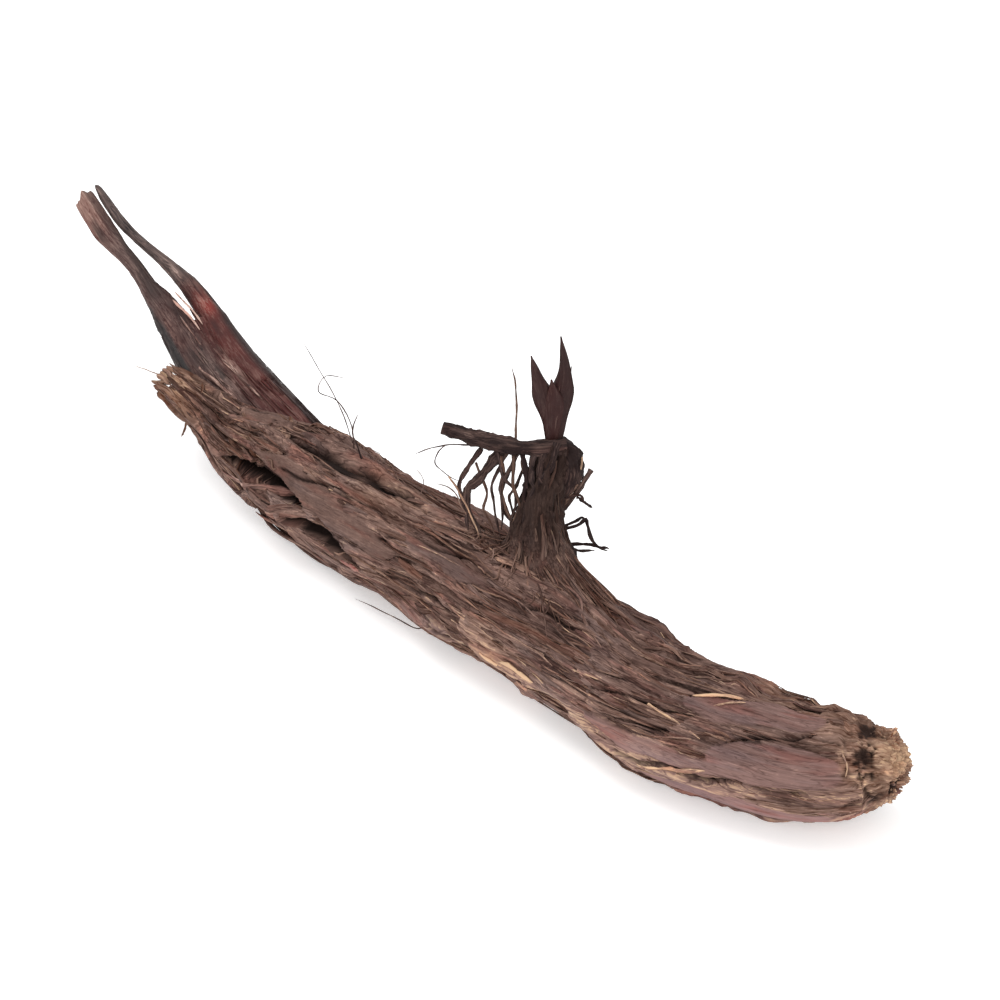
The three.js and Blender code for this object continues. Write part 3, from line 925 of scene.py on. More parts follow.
@dataclass(frozen=True)
class BarkFinish:
    """Dry, fibrous bark: streaks along its grain, painted shade in its hollows and pale on its ridges."""

    name: str
    # The colour that the painted shade mixes towards. It also gives the blades their own darker colour.
    deep: Colour = (29, 17, 13)
    dark: Colour = (60, 40, 34)
    body: Colour = (104, 80, 72)
    pale: Colour = (146, 116, 104)
    bright: Colour = (212, 176, 142)
    warm: Colour = (134, 78, 46)
    plum: Colour = (112, 80, 76)
    ruddy: float = 0.55
    dusty: float = 0.5
    streaks: float = 0.68
    rough: float = 0.85
    bump: float = 0.4
    shine: float = 0.18

    def made(self) -> bpy.types.Material:
        """Makes the material.

        Returns:
            The material.
        """
        nodes = NodeMaker(self.name)
        place = nodes.own(Grain.PLACE)
        calm = nodes.own(Grain.CALM)
        threads = nodes.streaks(place, 0.5, 7.5, 4.0, 0.6)
        bands = nodes.streaks(place, 0.22, 1.7, 3.0)
        blotches = nodes.streaks(place, 0.55, 0.55, 3.0)
        specks = nodes.streaks(place, 2.6, 6.0)
        seams = nodes.streaks(place, 0.33, 2.9).near(0.5, 0.035)
        glints = nodes.streaks(place, 0.7, 4.3).near(0.58, 0.025)
        streaks = (threads - 0.5) * (self.streaks * 1.6) + (bands - 0.5) * (self.streaks * 0.8)
        streaks = streaks + glints * 0.2 - seams * 0.34
        tone = nodes.own(Grain.TONE) + streaks * (1 - calm * 0.6) + (blotches - 0.5) * 0.25
        tone = (tone + (specks - 0.5) * 0.22).clipped()
        stops = [
            (0.06, tint(*self.dark)),
            (0.42, tint(*self.body)),
            (0.7, tint(*self.pale)),
            (0.95, tint(*self.bright)),
        ]
        colour = nodes.value("ShaderNodeValToRGB", {"stops": stops}, {"Fac": tone})
        plum = nodes.own(Grain.PLUM).clipped()
        plummy = nodes.mix(tone, tint(*self.dark), tint(*(part + 34 for part in self.plum)))
        colour = nodes.mix(plum, colour, plummy)
        ruddy = nodes.streaks(place, 0.17, 1.2).stretched(0.5, 0.66)
        colour = nodes.mix(ruddy * self.ruddy, colour, tint(255, 205, 196), "MULTIPLY")
        dusty = nodes.streaks(place, 0.14, 0.95).stretched(0.5, 0.66)
        colour = nodes.mix(dusty * self.dusty, colour, tint(225, 240, 255), "MULTIPLY")
        warm = (nodes.own(Grain.WARM) * (blotches + 0.5)).clipped()
        colour = nodes.mix(warm, colour, nodes.mix(tone, tint(*self.warm), tint(*self.bright)))
        # Painted shade: the colour is mixed towards the deep colour wherever the mesh stores it. The same
        # mix also gives the blades their own darker colour.
        hollow = nodes.own(Grain.PAINTED_SHADE_AND_DARK).clipped()
        colour = nodes.mix(hollow, colour, tint(*self.deep))
        nodes.feed(nodes.shader.inputs["Base Color"], colour)
        nodes.feed(nodes.shader.inputs["Roughness"], (specks - 0.5) * 0.25 + self.rough)
        height = threads * 0.7 + specks * 0.3 - seams * 0.3
        bumped = {"Strength": self.bump, "Distance": 0.15 * METRES, "Height": height}
        nodes.feed(nodes.shader.inputs["Normal"], nodes.value("ShaderNodeBump", {}, bumped))
        nodes.shader.inputs["Specular IOR Level"].default_value = self.shine
        return nodes.material


@dataclass(frozen=True)
class BarkSkin:
    """The points of the bark's skin: where they are, and what they are part of."""

    t: np.ndarray
    angle: np.ndarray
    face: np.ndarray
    hollow: np.ndarray
    plate: np.ndarray
    opened: np.ndarray


@dataclass(frozen=True)
class Bark:
    """The curved rhizome's bark as one closed skin, from the crumbled end to the torn, hollow tongue."""

    rings: int = 440
    sides: int = 220
    face_rings: int = 40
    hollow_rings: int = 20
    bulge: float = 1.5
    rounding: float = 0.16
    crumb: float = 0.8
    grit: float = 0.3
    tongue_ragged: float = 0.6
    tongue_hollow: float = 3.2
    pits: tuple[Triple, ...] = ((0.024, 0.88, 0.62), (0.02, 0.42, 0.72))

    def build(self, material: bpy.types.Material) -> bpy.types.Object:
        """Makes the bark, which stands for the CAD solid.

        Args:
            material: Its finish.

        Returns:
            The piece.
        """
        mesh, ring, angle = grid_tube(self.rings, self.sides)
        skin = self._skin(ring, angle)
        t, face, hollow = skin.t, skin.face, skin.hollow
        here = BARK.place(t)
        girth = here.size[:, 0]
        gash = smooth_step(0.02, 0.36, sunk(GASH, t, angle, girth))
        split = sunk(CRACKS, t, angle, girth)
        fine = RELIEF.fine(t, angle, skin.plate) * (1 - 0.9 * gash)
        crumbs, gaps, own = self._crumbs(skin)
        lift = (RELIEF.level(t, angle) * (1 - 0.5 * skin.opened) + fine - split) * face**2 * hollow
        lift += skin.opened * face * crumbs
        rounded = 1 - self.rounding * (1 - smooth_step(-0.01, 0.035, t))
        points = BARK.skin(t, angle, np.minimum(face, hollow) * rounded, lift)
        ragged = np.sin(7 * angle) + 0.8 * np.sin(13 * angle + 1) + 0.5 * np.sin(29 * angle)
        ahead = -(self.bulge * (1 - face**2) + crumbs) * (1 - smooth_step(0.0, 0.012, t))
        ahead += self.tongue_ragged * ragged * smooth_step(0.94, 1.0, t) * hollow
        ahead -= np.where(hollow < 1, self.tongue_hollow * (1 - hollow) ** 0.6, 0)
        write_points(mesh, points + here.ahead * ahead[:, None])
        # Painted shade: the hollows of the fine relief, the cracks, the gash, the inside of the hollow
        # tongue and the gaps between crumbs are darkened.
        dark = smooth_step(0.0, 0.42, -fine) * 0.55 + smooth_step(0.05, 0.45, split) * 0.8
        dark += gash + 0.9 * (1 - hollow)
        dark = dark * (1 - skin.opened) + gaps * skin.opened
        write_grains(mesh, self._grain(skin), **self._tints(skin, np.clip(dark, 0, 1), own))
        piece = settle(mesh, "bark", material)
        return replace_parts(piece, "valerian_root")

    def _skin(self, ring: np.ndarray, angle: np.ndarray) -> BarkSkin:
        """What each point of the tube becomes.

        Args:
            ring: The ring that each point is on.
            angle: Angles round the bark.

        Returns:
            The points of the skin.
        """
        first_hollow = self.rings - self.hollow_rings
        t = np.clip((ring - self.face_rings) / (first_hollow - 1 - self.face_rings), 0, 1)
        return BarkSkin(
            t=t,
            angle=angle,
            face=np.where(ring < self.face_rings, ring / self.face_rings, 1.0),
            hollow=np.where(ring >= first_hollow, (self.rings - 1 - ring) / self.hollow_rings, 1.0),
            plate=covered(PLATES, t, angle, BARK.place(t).size[:, 0]),
            opened=RELIEF.opened(t, angle),
        )

    def _crumbs(self, skin: BarkSkin) -> tuple[np.ndarray, np.ndarray, np.ndarray]:
        """The crumbs of the broken end.

        Args:
            skin: The points of the skin.

        Returns:
            How far out each place lies, how much painted shade it has in a gap from 0 to 1, and its crumb's
            own number.
        """
        out, gaps, own = np.zeros((3, len(skin.t)))
        at_end = (skin.opened > 0) | (skin.face < 1)
        places = BARK.skin(skin.t[at_end], skin.angle[at_end], skin.face[at_end], 0.0)
        far, number = crumbly(places, self.crumb)
        near, small = crumbly(places + 30, self.grit)
        rough = rugged(places, 2.2)
        lump = smooth_step(0.0, 0.35, far)
        pits = self._pits(places)
        out[at_end] = 0.5 * rough - 0.45 + 0.22 * number * lump - 0.35 * pits
        out[at_end] += 0.16 * smooth_step(0.0, 0.4, near) * (0.4 + small)
        # Painted shade in the gaps between crumbs, the low places and the pits.
        gap = 0.35 * (1 - lump) + 0.85 * smooth_step(0.0, 0.36, -rough) + 0.8 * pits
        gaps[at_end] = np.clip(gap, 0, 0.92)
        own[at_end] = np.clip(0.32 * number + 0.34 * small + 0.5 * rough, 0, 1)
        return out, gaps, own

    def _pits(self, places: np.ndarray) -> np.ndarray:
        """The deepest holes of the broken end.

        Args:
            places: Points of the broken end.

        Returns:
            1 in the holes, and 0 elsewhere.
        """
        bent = places + np.array([2.2 * noise.noise_vector(Vector(point * 1.4)) for point in places])
        pits = np.zeros(len(places))
        for place, side, reach in self.pits:
            middle = BARK.skin(np.array([place]), np.array([side]))[0]
            pits = np.maximum(pits, np.exp(-((np.linalg.norm(bent - middle, axis=1) / reach) ** 2)))
        return smooth_step(0.3, 0.8, pits)

    @staticmethod
    def _grain(skin: BarkSkin) -> np.ndarray:
        """Where each point lies in the bark's grain.

        Args:
            skin: The points of the skin.

        Returns:
            A place along the grain and twice across it for each point.
        """
        reach = 6.0
        radius = BARK.place(skin.t).size.mean(axis=1) * np.minimum(skin.face, skin.hollow)
        along = skin.t * BARK.length + reach * (1 - skin.face) - reach * (1 - skin.hollow)
        drifted = skin.angle - RELIEF.flow(skin.t)
        return np.stack((along, radius * np.cos(drifted), radius * np.sin(drifted)), axis=1)

    @staticmethod
    def _tints(skin: BarkSkin, dark: np.ndarray, own: np.ndarray) -> dict[str, np.ndarray]:
        """The tone, tints, painted shade and painted light of the bark.

        Args:
            skin: The points of the skin.
            dark: How much painted shade each place has in a hollow.
            own: The number of each crumb of the broken end.

        Returns:
            What the finish reads at each point.
        """
        t, angle, plate = skin.t, skin.angle, skin.plate
        turned = wrapped(angle)
        end = np.clip(skin.opened + (1 - skin.face) * 3, 0, 1)
        tongue = smooth_step(0.9, 1.0, t)
        # Painted light: the lower side is lighter and pinker, as if lit by light bounced off the floor.
        below = smooth_step(0.3, -0.5, turned) * (1 - smooth_step(0.55, 0.65, t))
        crown = smooth_step(0.14, 0.06, np.abs(t - 0.44)) * smooth_step(0.2, 0.8, turned)
        top = smooth_step(1.3, 1.9, turned) * smooth_step(0.5, 0.3, t)
        # Painted light: the front is lighter, as if lit from the front.
        front = smooth_step(0.9, 0.2, np.abs(turned + 0.1)) * smooth_step(0.6, 0.4, t)
        right = smooth_step(0.6, 0.3, t)
        patchy = streaky(74, t, angle - RELIEF.flow(t), (13, 30))
        tone = 0.45 - 0.03 * right + 0.05 * plate * (1.6 * right - 0.6)
        tone += 0.26 * below + 0.16 * front - 0.14 * crown - 0.08 * top
        tone += (0.13 + 0.12 * tongue) * patchy * (1 - 0.5 * plate)
        tone = tone * (1 - end) + (0.2 + 0.75 * own) * end
        rusty = 0.3 * np.clip(streaky(76, t, angle, (9, 5)), 0, 1)
        golden = np.exp(-((wrapped(angle - 0.95) / 0.75) ** 2)) * smooth_step(0.03, 0.0, t)
        warm = (0.1 * tongue + rusty * (1 - plate) * (1 - crown)) * (1 - end) + (0.22 + 0.45 * golden) * end
        cream = spot(t, wrapped(angle - 0.9), (0.985, 0.0), (0.014, 0.35))
        mottled = smooth_step(0.1, 0.6, streaky(78, t, angle, (34, 14)))
        return {
            "tone": tone + 0.45 * cream + 0.06 * golden * end,
            "hollow": np.clip(dark + 0.4 * tongue * mottled - 0.5 * cream, 0, 1),
            "warm": warm + 0.3 * cream,
            # The plum tint is the plates' own colour and painted bounce light on the lower side.
            "plum": np.clip((0.7 * plate * right + 0.5 * below) * (1 - end), 0, 1),
            "calm": plate * (1 - 0.5 * right),
        }


@dataclass
class Fibres:
    """Many fibres: their lines, the way out of what they lie on, their sizes and their tints."""

    path: np.ndarray
    away: np.ndarray
    wide: np.ndarray
    thick: np.ndarray
    tone: np.ndarray
    warm: np.ndarray
    # Mixed towards the deep colour: painted shade for fibres in cracks, the gash and up the stub, and own
    # darker colour for others, such as the blades.
    dark: np.ndarray | float = 0.0
    plum: np.ndarray | float = 0.0

    def piece(self, name: str, sides: int, material: bpy.types.Material) -> bpy.types.Object:
        """Makes the fibres as one piece.

        Args:
            name: The piece's name.
            sides: How many sides each fibre has.
            material: Their finish.

        Returns:
            The piece.
        """
        count, rings = self.path.shape[:2]
        mesh, tube, ring, angle, share = row_of_tubes(count, rings, sides)
        ahead = unit(np.gradient(self.path, axis=1))
        above = unit(self.away - ahead * np.sum(self.away * ahead, axis=2, keepdims=True))
        across = np.cross(ahead, above)
        x = share * np.cos(angle) * self.wide[tube, ring]
        y = share * np.sin(angle) * self.thick[tube, ring]
        points = self.path[tube, ring] + across[tube, ring] * x[:, None] + above[tube, ring] * y[:, None]
        write_points(mesh, points)
        gaps = np.linalg.norm(np.diff(self.path, axis=1), axis=2)
        along = np.concatenate((np.zeros((count, 1)), np.cumsum(gaps, axis=1)), axis=1)
        grain = np.stack((along[tube, ring] + 13.7 * tube, x + 3.1 * tube, y), axis=1)
        tints = {"tone": self.tone, "warm": self.warm, "hollow": self.dark, "plum": self.plum}
        own = {key: np.broadcast_to(tint, (count, rings))[tube, ring] for key, tint in tints.items()}
        write_grains(mesh, grain, **own)
        return settle(mesh, name, material)


@dataclass(frozen=True)
class FibreSet:
    """Fibres that are built as one piece."""

    name: str
    sides: int

    def fibres(self) -> Fibres:
        """Lays the fibres."""
        raise NotImplementedError

    def build(self, material: bpy.types.Material) -> bpy.types.Object:
        """Makes the piece in the finish given."""
        return self.fibres().piece(self.name, self.sides, material)


def tapered(share: np.ndarray, quick: float = 5.0) -> np.ndarray:
    """How thick a fibre is along its length, from a fine tip to its full size and back."""
    return np.clip(np.minimum(share, 1 - share) * quick, 0.12, 1) ** 0.6


@dataclass(frozen=True)
class StrandFamily(FibreSet):
    """A kind of fibre along the bark, with the two ends between which each of its sizes is drawn."""

    seed: int
    count: int
    span: Pair
    side: Pair
    reach: Pair
    wide: Pair
    flat: Pair
    lift: Pair
    arch: Pair
    tone: Pair
    warm: Pair
    stray: float = 0.08
    wobble: float = 0.02
    rings: int = 9
    under_plates: float = 1.0

    def fibres(self) -> Fibres:
        """Lays the family's fibres along the bark.

        Returns:
            The fibres.
        """
        draws = Draws(self.seed, self.count)
        drawn = draws.between
        share = steps(self.rings)
        start, reach, side = drawn(*self.span), drawn(*self.reach), drawn(*self.side)
        t = np.clip(start + reach * (share - 0.5), 0.004, 0.992)
        stray = draws.round_zero(self.stray) * (share - 0.5)
        wave = self.wobble * np.sin(TURN * (drawn(0.6, 1.6) * share + drawn(0, 1)))
        angle = side + RELIEF.flow(t) - RELIEF.flow(start) + stray + wave
        arch = drawn(*self.arch) * np.sin(math.pi * share)
        girth = BARK.place(t).size[..., 0]
        split = sunk(CRACKS, t, angle, girth)
        gash = sunk(GASH, t, angle, girth)
        torn = smooth_step(0.15, 0.8, gash)
        further = RELIEF.level(t, angle) + drawn(*self.lift) + arch
        further -= self.under_plates * covered(PLATES, t, angle, girth)
        further -= 0.8 * split + 1.9 * torn + 1.2 * RELIEF.opened(t, angle)
        wide = drawn(*self.wide) * tapered(share) * (1 + 0.2 * np.sin(TURN * (2.3 * share + drawn(0, 1))))
        wide *= 1 - 0.95 * smooth_step(0.02, 0.4, gash)
        return Fibres(
            path=BARK.skin(t, angle, 1.0, further),
            away=BARK.away(t, angle),
            wide=wide,
            thick=wide * drawn(*self.flat),
            tone=drawn(*self.tone),
            warm=drawn(*self.warm),
            # Painted shade: fibres that sink into the gash and the cracks are darkened.
            dark=np.clip(torn + smooth_step(0.05, 0.5, split), 0, 1),
        )


STRANDS = (
    StrandFamily(
        "strands_broad", 6, 105, 220,
        span=(0.06, 0.95), side=(-1.0, 4.2), reach=(0.05, 0.16), wide=(0.18, 0.36),
        flat=(0.22, 0.34), lift=(-0.1, 0.06), arch=(0.0, 0.05), tone=(0.2, 0.55), warm=(0.0, 0.12), rings=13,
    ),
    StrandFamily(
        "strands_deep", 4, 101, 560,
        span=(0.05, 0.97), side=(-1.0, 4.2), reach=(0.05, 0.17), wide=(0.05, 0.14),
        flat=(0.6, 1.0), lift=(-0.14, 0.0), arch=(0.0, 0.05), tone=(0.1, 0.4), warm=(0.0, 0.1), wobble=0.03,
    ),
    StrandFamily(
        "strands_mid", 4, 102, 700,
        span=(0.05, 0.97), side=(-0.9, 4.0), reach=(0.03, 0.13), wide=(0.04, 0.12),
        flat=(0.4, 0.8), lift=(-0.07, 0.04), arch=(0.0, 0.05), tone=(0.25, 0.55), warm=(0.0, 0.2),
        under_plates=0.8,
    ),
    StrandFamily(
        "strands_pale", 4, 103, 260,
        span=(0.05, 0.96), side=(-0.8, 3.9), reach=(0.02, 0.08), wide=(0.03, 0.08),
        flat=(0.4, 0.8), lift=(0.0, 0.08), arch=(0.0, 0.08), tone=(0.45, 0.75), warm=(0.0, 0.2), stray=0.1,
        under_plates=0.9,
    ),
    StrandFamily(
        "edge_fluff", 4, 104, 110,
        span=(0.7, 0.82), side=(2.1, 2.8), reach=(0.015, 0.045), wide=(0.03, 0.06),
        flat=(0.7, 1.0), lift=(-0.05, 0.12), arch=(0.0, 0.16), tone=(0.35, 0.55), warm=(0.0, 0.1),
        stray=0.35, wobble=0.08, under_plates=0.5,
    ),
)


@dataclass(frozen=True)
class BarkRibbon:
    """One strap or sliver of bark, through places along the bark with an angle and a lift."""

    course: tuple[Triple, ...]
    wide: float
    thick: float
    tone: float
    warm: float = 0.0


def column(chosen: tuple, size: str) -> np.ndarray:
    """One size or tint of each of several straps or rootlets, as a column."""
    return np.array([[getattr(one, size)] for one in chosen])


@dataclass(frozen=True)
class RibbonSet(FibreSet):
    """Straps of bark that lie on a limb along their courses."""

    chosen: tuple[BarkRibbon, ...]
    limb: Limb = BARK
    rings: int = 22

    def fibres(self) -> Fibres:
        """Lays the straps along their courses.

        Returns:
            Them as fibres.
        """
        share = np.linspace(0, 1, self.rings)
        course = np.stack([smooth_curve(np.array(one.course), share) for one in self.chosen])
        t, angle, lift = course[..., 0], course[..., 1], course[..., 2]
        form = tapered(share, 6.0)[None, :]
        phase = np.arange(len(self.chosen))[:, None]
        uneven = 1 + 0.18 * np.sin(17 * share + 2.4 * phase) + 0.1 * np.sin(41 * share + phase)
        raised = 0.0
        if self.limb is BARK:
            raised = RELIEF.level(t, angle) + sunk(GASH, t, angle, BARK.place(t).size[..., 0])
        return Fibres(
            path=self.limb.skin(t, angle, 1.0, raised + lift),
            away=self.limb.away(t, angle),
            wide=column(self.chosen, "wide") * form * uneven,
            thick=column(self.chosen, "thick") * form,
            tone=column(self.chosen, "tone"),
            warm=column(self.chosen, "warm"),
        )


GASH_STRAPS = (
    BarkRibbon(
        (
            (0.892, -0.75, -0.1), (0.874, -0.6, 0.05), (0.855, -0.3, 0.1), (0.839, -0.04, 0.05),
            (0.809, 0.2, -0.1), (0.781, 0.36, -0.35), (0.765, 0.45, -0.6),
        ),
        0.34, 0.16, 0.42,
    ),
    BarkRibbon(
        (
            (0.865, -0.85, 0.1), (0.846, -0.6, 0.15), (0.825, -0.38, 0.15), (0.807, -0.2, 0.1),
            (0.771, 0.08, 0.05), (0.749, 0.2, 0.0), (0.72, 0.32, -0.1),
        ),
        0.5, 0.2, 0.42,
    ),
    BarkRibbon(
        ((0.88, -0.9, 0.1), (0.862, -0.72, 0.15), (0.84, -0.5, 0.1), (0.82, -0.34, 0.0)),
        0.25, 0.12, 0.3,
    ),
    BarkRibbon(
        (
            (0.8, -0.52, 0.0), (0.77, -0.44, 0.1), (0.74, -0.35, 0.12), (0.7, -0.27, 0.12),
            (0.66, -0.22, 0.08), (0.6, -0.2, 0),
        ),
        0.36, 0.16, 0.52,
    ),
    BarkRibbon(
        (
            (0.83, -0.78, 0.3), (0.8, -0.7, 0.3), (0.76, -0.64, 0.25), (0.72, -0.52, 0.2),
            (0.68, -0.38, 0.1), (0.64, -0.3, 0),
        ),
        0.3, 0.14, 0.6,
    ),
    BarkRibbon(
        (
            (0.84, -0.95, 0.6), (0.8, -0.85, 0.6), (0.76, -0.78, 0.5), (0.71, -0.7, 0.4), (0.66, -0.6, 0.2),
            (0.61, -0.5, 0),
        ),
        0.4, 0.15, 0.44,
    ),
    BarkRibbon(
        ((0.84, -1.1, 0.9), (0.79, -1.0, 0.8), (0.73, -0.9, 0.6), (0.66, -0.8, 0.3), (0.58, -0.7, 0.0)),
        0.4, 0.15, 0.3,
    ),
)
GASH_GLINTS = (
    BarkRibbon(
        ((0.878, -0.52, 0.14), (0.862, -0.3, 0.2), (0.847, -0.08, 0.18), (0.832, 0.08, 0.06)),
        0.13, 0.05, 0.55, 0.7,
    ),
    BarkRibbon(
        ((0.682, -0.24, 0.25), (0.67, -0.19, 0.34), (0.656, -0.13, 0.34), (0.646, -0.1, 0.25)),
        0.26, 0.1, 0.28, 1.0,
    ),
    BarkRibbon(
        ((0.81, -0.62, 0.44), (0.79, -0.6, 0.46), (0.765, -0.57, 0.38), (0.74, -0.5, 0.3)),
        0.09, 0.05, 0.65, 0.2,
    ),
)
# Pale streaks along the prong: painted highlights of its satin sheen.
PRONG_PAINTED_HIGHLIGHTS = (
    BarkRibbon(
        ((0.46, 1.02, 0.0), (0.43, 1.08, 0.04), (0.381, 1.21, 0.05), (0.33, 1.27, 0.02), (0.28, 1.34, 0.0)),
        0.2, 0.07, 0.6,
    ),
    BarkRibbon(
        ((0.3, 1.33, 0.0), (0.26, 1.4, 0.05), (0.22, 1.5, 0.03), (0.17, 1.55, 0.0)),
        0.24, 0.07, 0.55,
    ),
    BarkRibbon(
        ((0.43, 1.74, 0.0), (0.38, 1.78, 0.05), (0.32, 1.82, 0.05), (0.25, 1.85, 0.0)),
        0.12, 0.06, 0.74,
    ),
    BarkRibbon(((0.3, 1.1, 0.0), (0.24, 1.2, 0.05), (0.16, 1.25, 0.0)), 0.12, 0.07, 0.5),
    BarkRibbon(((0.65, 1.5, 0.0), (0.62, 1.56, 0.1), (0.58, 1.66, 0.12), (0.53, 1.7, 0.0)), 0.1, 0.07, 1.1),
    BarkRibbon(
        ((0.67, 1.72, -0.1), (0.63, 1.76, 0.1), (0.585, 1.84, 0.12), (0.54, 1.86, 0.0)),
        0.08, 0.06, 1.05,
    ),
    BarkRibbon(((0.6, 1.4, 0.0), (0.55, 1.44, 0.06), (0.49, 1.5, 0.0)), 0.08, 0.05, 0.6),
)
# Pale slivers of bark. Their pale tan and cream is partly their own colour and partly painted highlight.
SLIVERS_AND_HIGHLIGHTS = (
    BarkRibbon(
        ((0.462, -0.15, 0.0), (0.451, -0.16, 0.1), (0.434, -0.17, 0.15), (0.42, -0.18, 0.1)),
        0.22, 0.05, 1.35,
    ),
    BarkRibbon(
        ((0.435, -0.15, 0.08), (0.417, -0.1, 0.16), (0.395, -0.11, 0.17), (0.372, -0.13, 0.05)),
        0.36, 0.07, 1.5,
    ),
    BarkRibbon(
        ((0.24, 0.83, 0.0), (0.236, 0.82, 0.06), (0.207, 0.75, 0.08), (0.176, 0.62, 0.02)),
        0.1, 0.04, 0.9, 0.1,
    ),
    BarkRibbon(
        ((0.25, -0.36, 0.0), (0.239, -0.32, 0.1), (0.221, -0.22, 0.12), (0.205, -0.14, 0.04)),
        0.22, 0.05, 0.88, 0.1,
    ),
    BarkRibbon(
        ((0.21, -0.16, 0.0), (0.193, -0.07, 0.1), (0.178, 0.02, 0.12), (0.163, 0.11, 0.02)),
        0.2, 0.05, 0.82, 0.1,
    ),
    BarkRibbon(((0.25, -0.52, 0.0), (0.21, -0.35, 0.08), (0.17, -0.15, 0.04)), 0.12, 0.04, 0.62, 0.15),
    BarkRibbon(
        ((0.203, 1.27, 0.0), (0.185, 1.38, 0.1), (0.168, 1.5, 0.12), (0.152, 1.66, 0.04)),
        0.17, 0.05, 0.98, 0.25,
    ),
    BarkRibbon(((0.178, 1.25, 0.0), (0.165, 1.36, 0.08), (0.15, 1.48, 0.04)), 0.08, 0.04, 0.8, 0.25),
    BarkRibbon(((0.324, 0.64, 0.0), (0.31, 0.69, 0.06), (0.29, 0.76, 0.03)), 0.08, 0.04, 0.8, 0.1),
    BarkRibbon(((0.34, 0.42, 0.0), (0.3, 0.46, 0.06), (0.26, 0.5, 0.0)), 0.07, 0.04, 0.6, 0.1),
    BarkRibbon(((0.52, 0.3, 0.0), (0.49, 0.34, 0.06), (0.46, 0.4, 0.0)), 0.07, 0.04, 0.66, 0.1),
    BarkRibbon(((0.58, 0.9, 0.0), (0.55, 0.95, 0.06), (0.52, 0.98, 0.0)), 0.06, 0.04, 0.7, 0.1),
    BarkRibbon(
        ((0.054, 0.92, -0.2), (0.051, 0.78, -0.1), (0.049, 0.62, -0.08), (0.051, 0.45, -0.2)),
        0.06, 0.06, 0.9,
    ),
)


@dataclass(frozen=True)
class Rootlet:
    """One fine root, through the places given, as in the CAD part."""

    course: tuple[Triple, ...]
    thick: float
    tone: float
    warm: float = 0.0


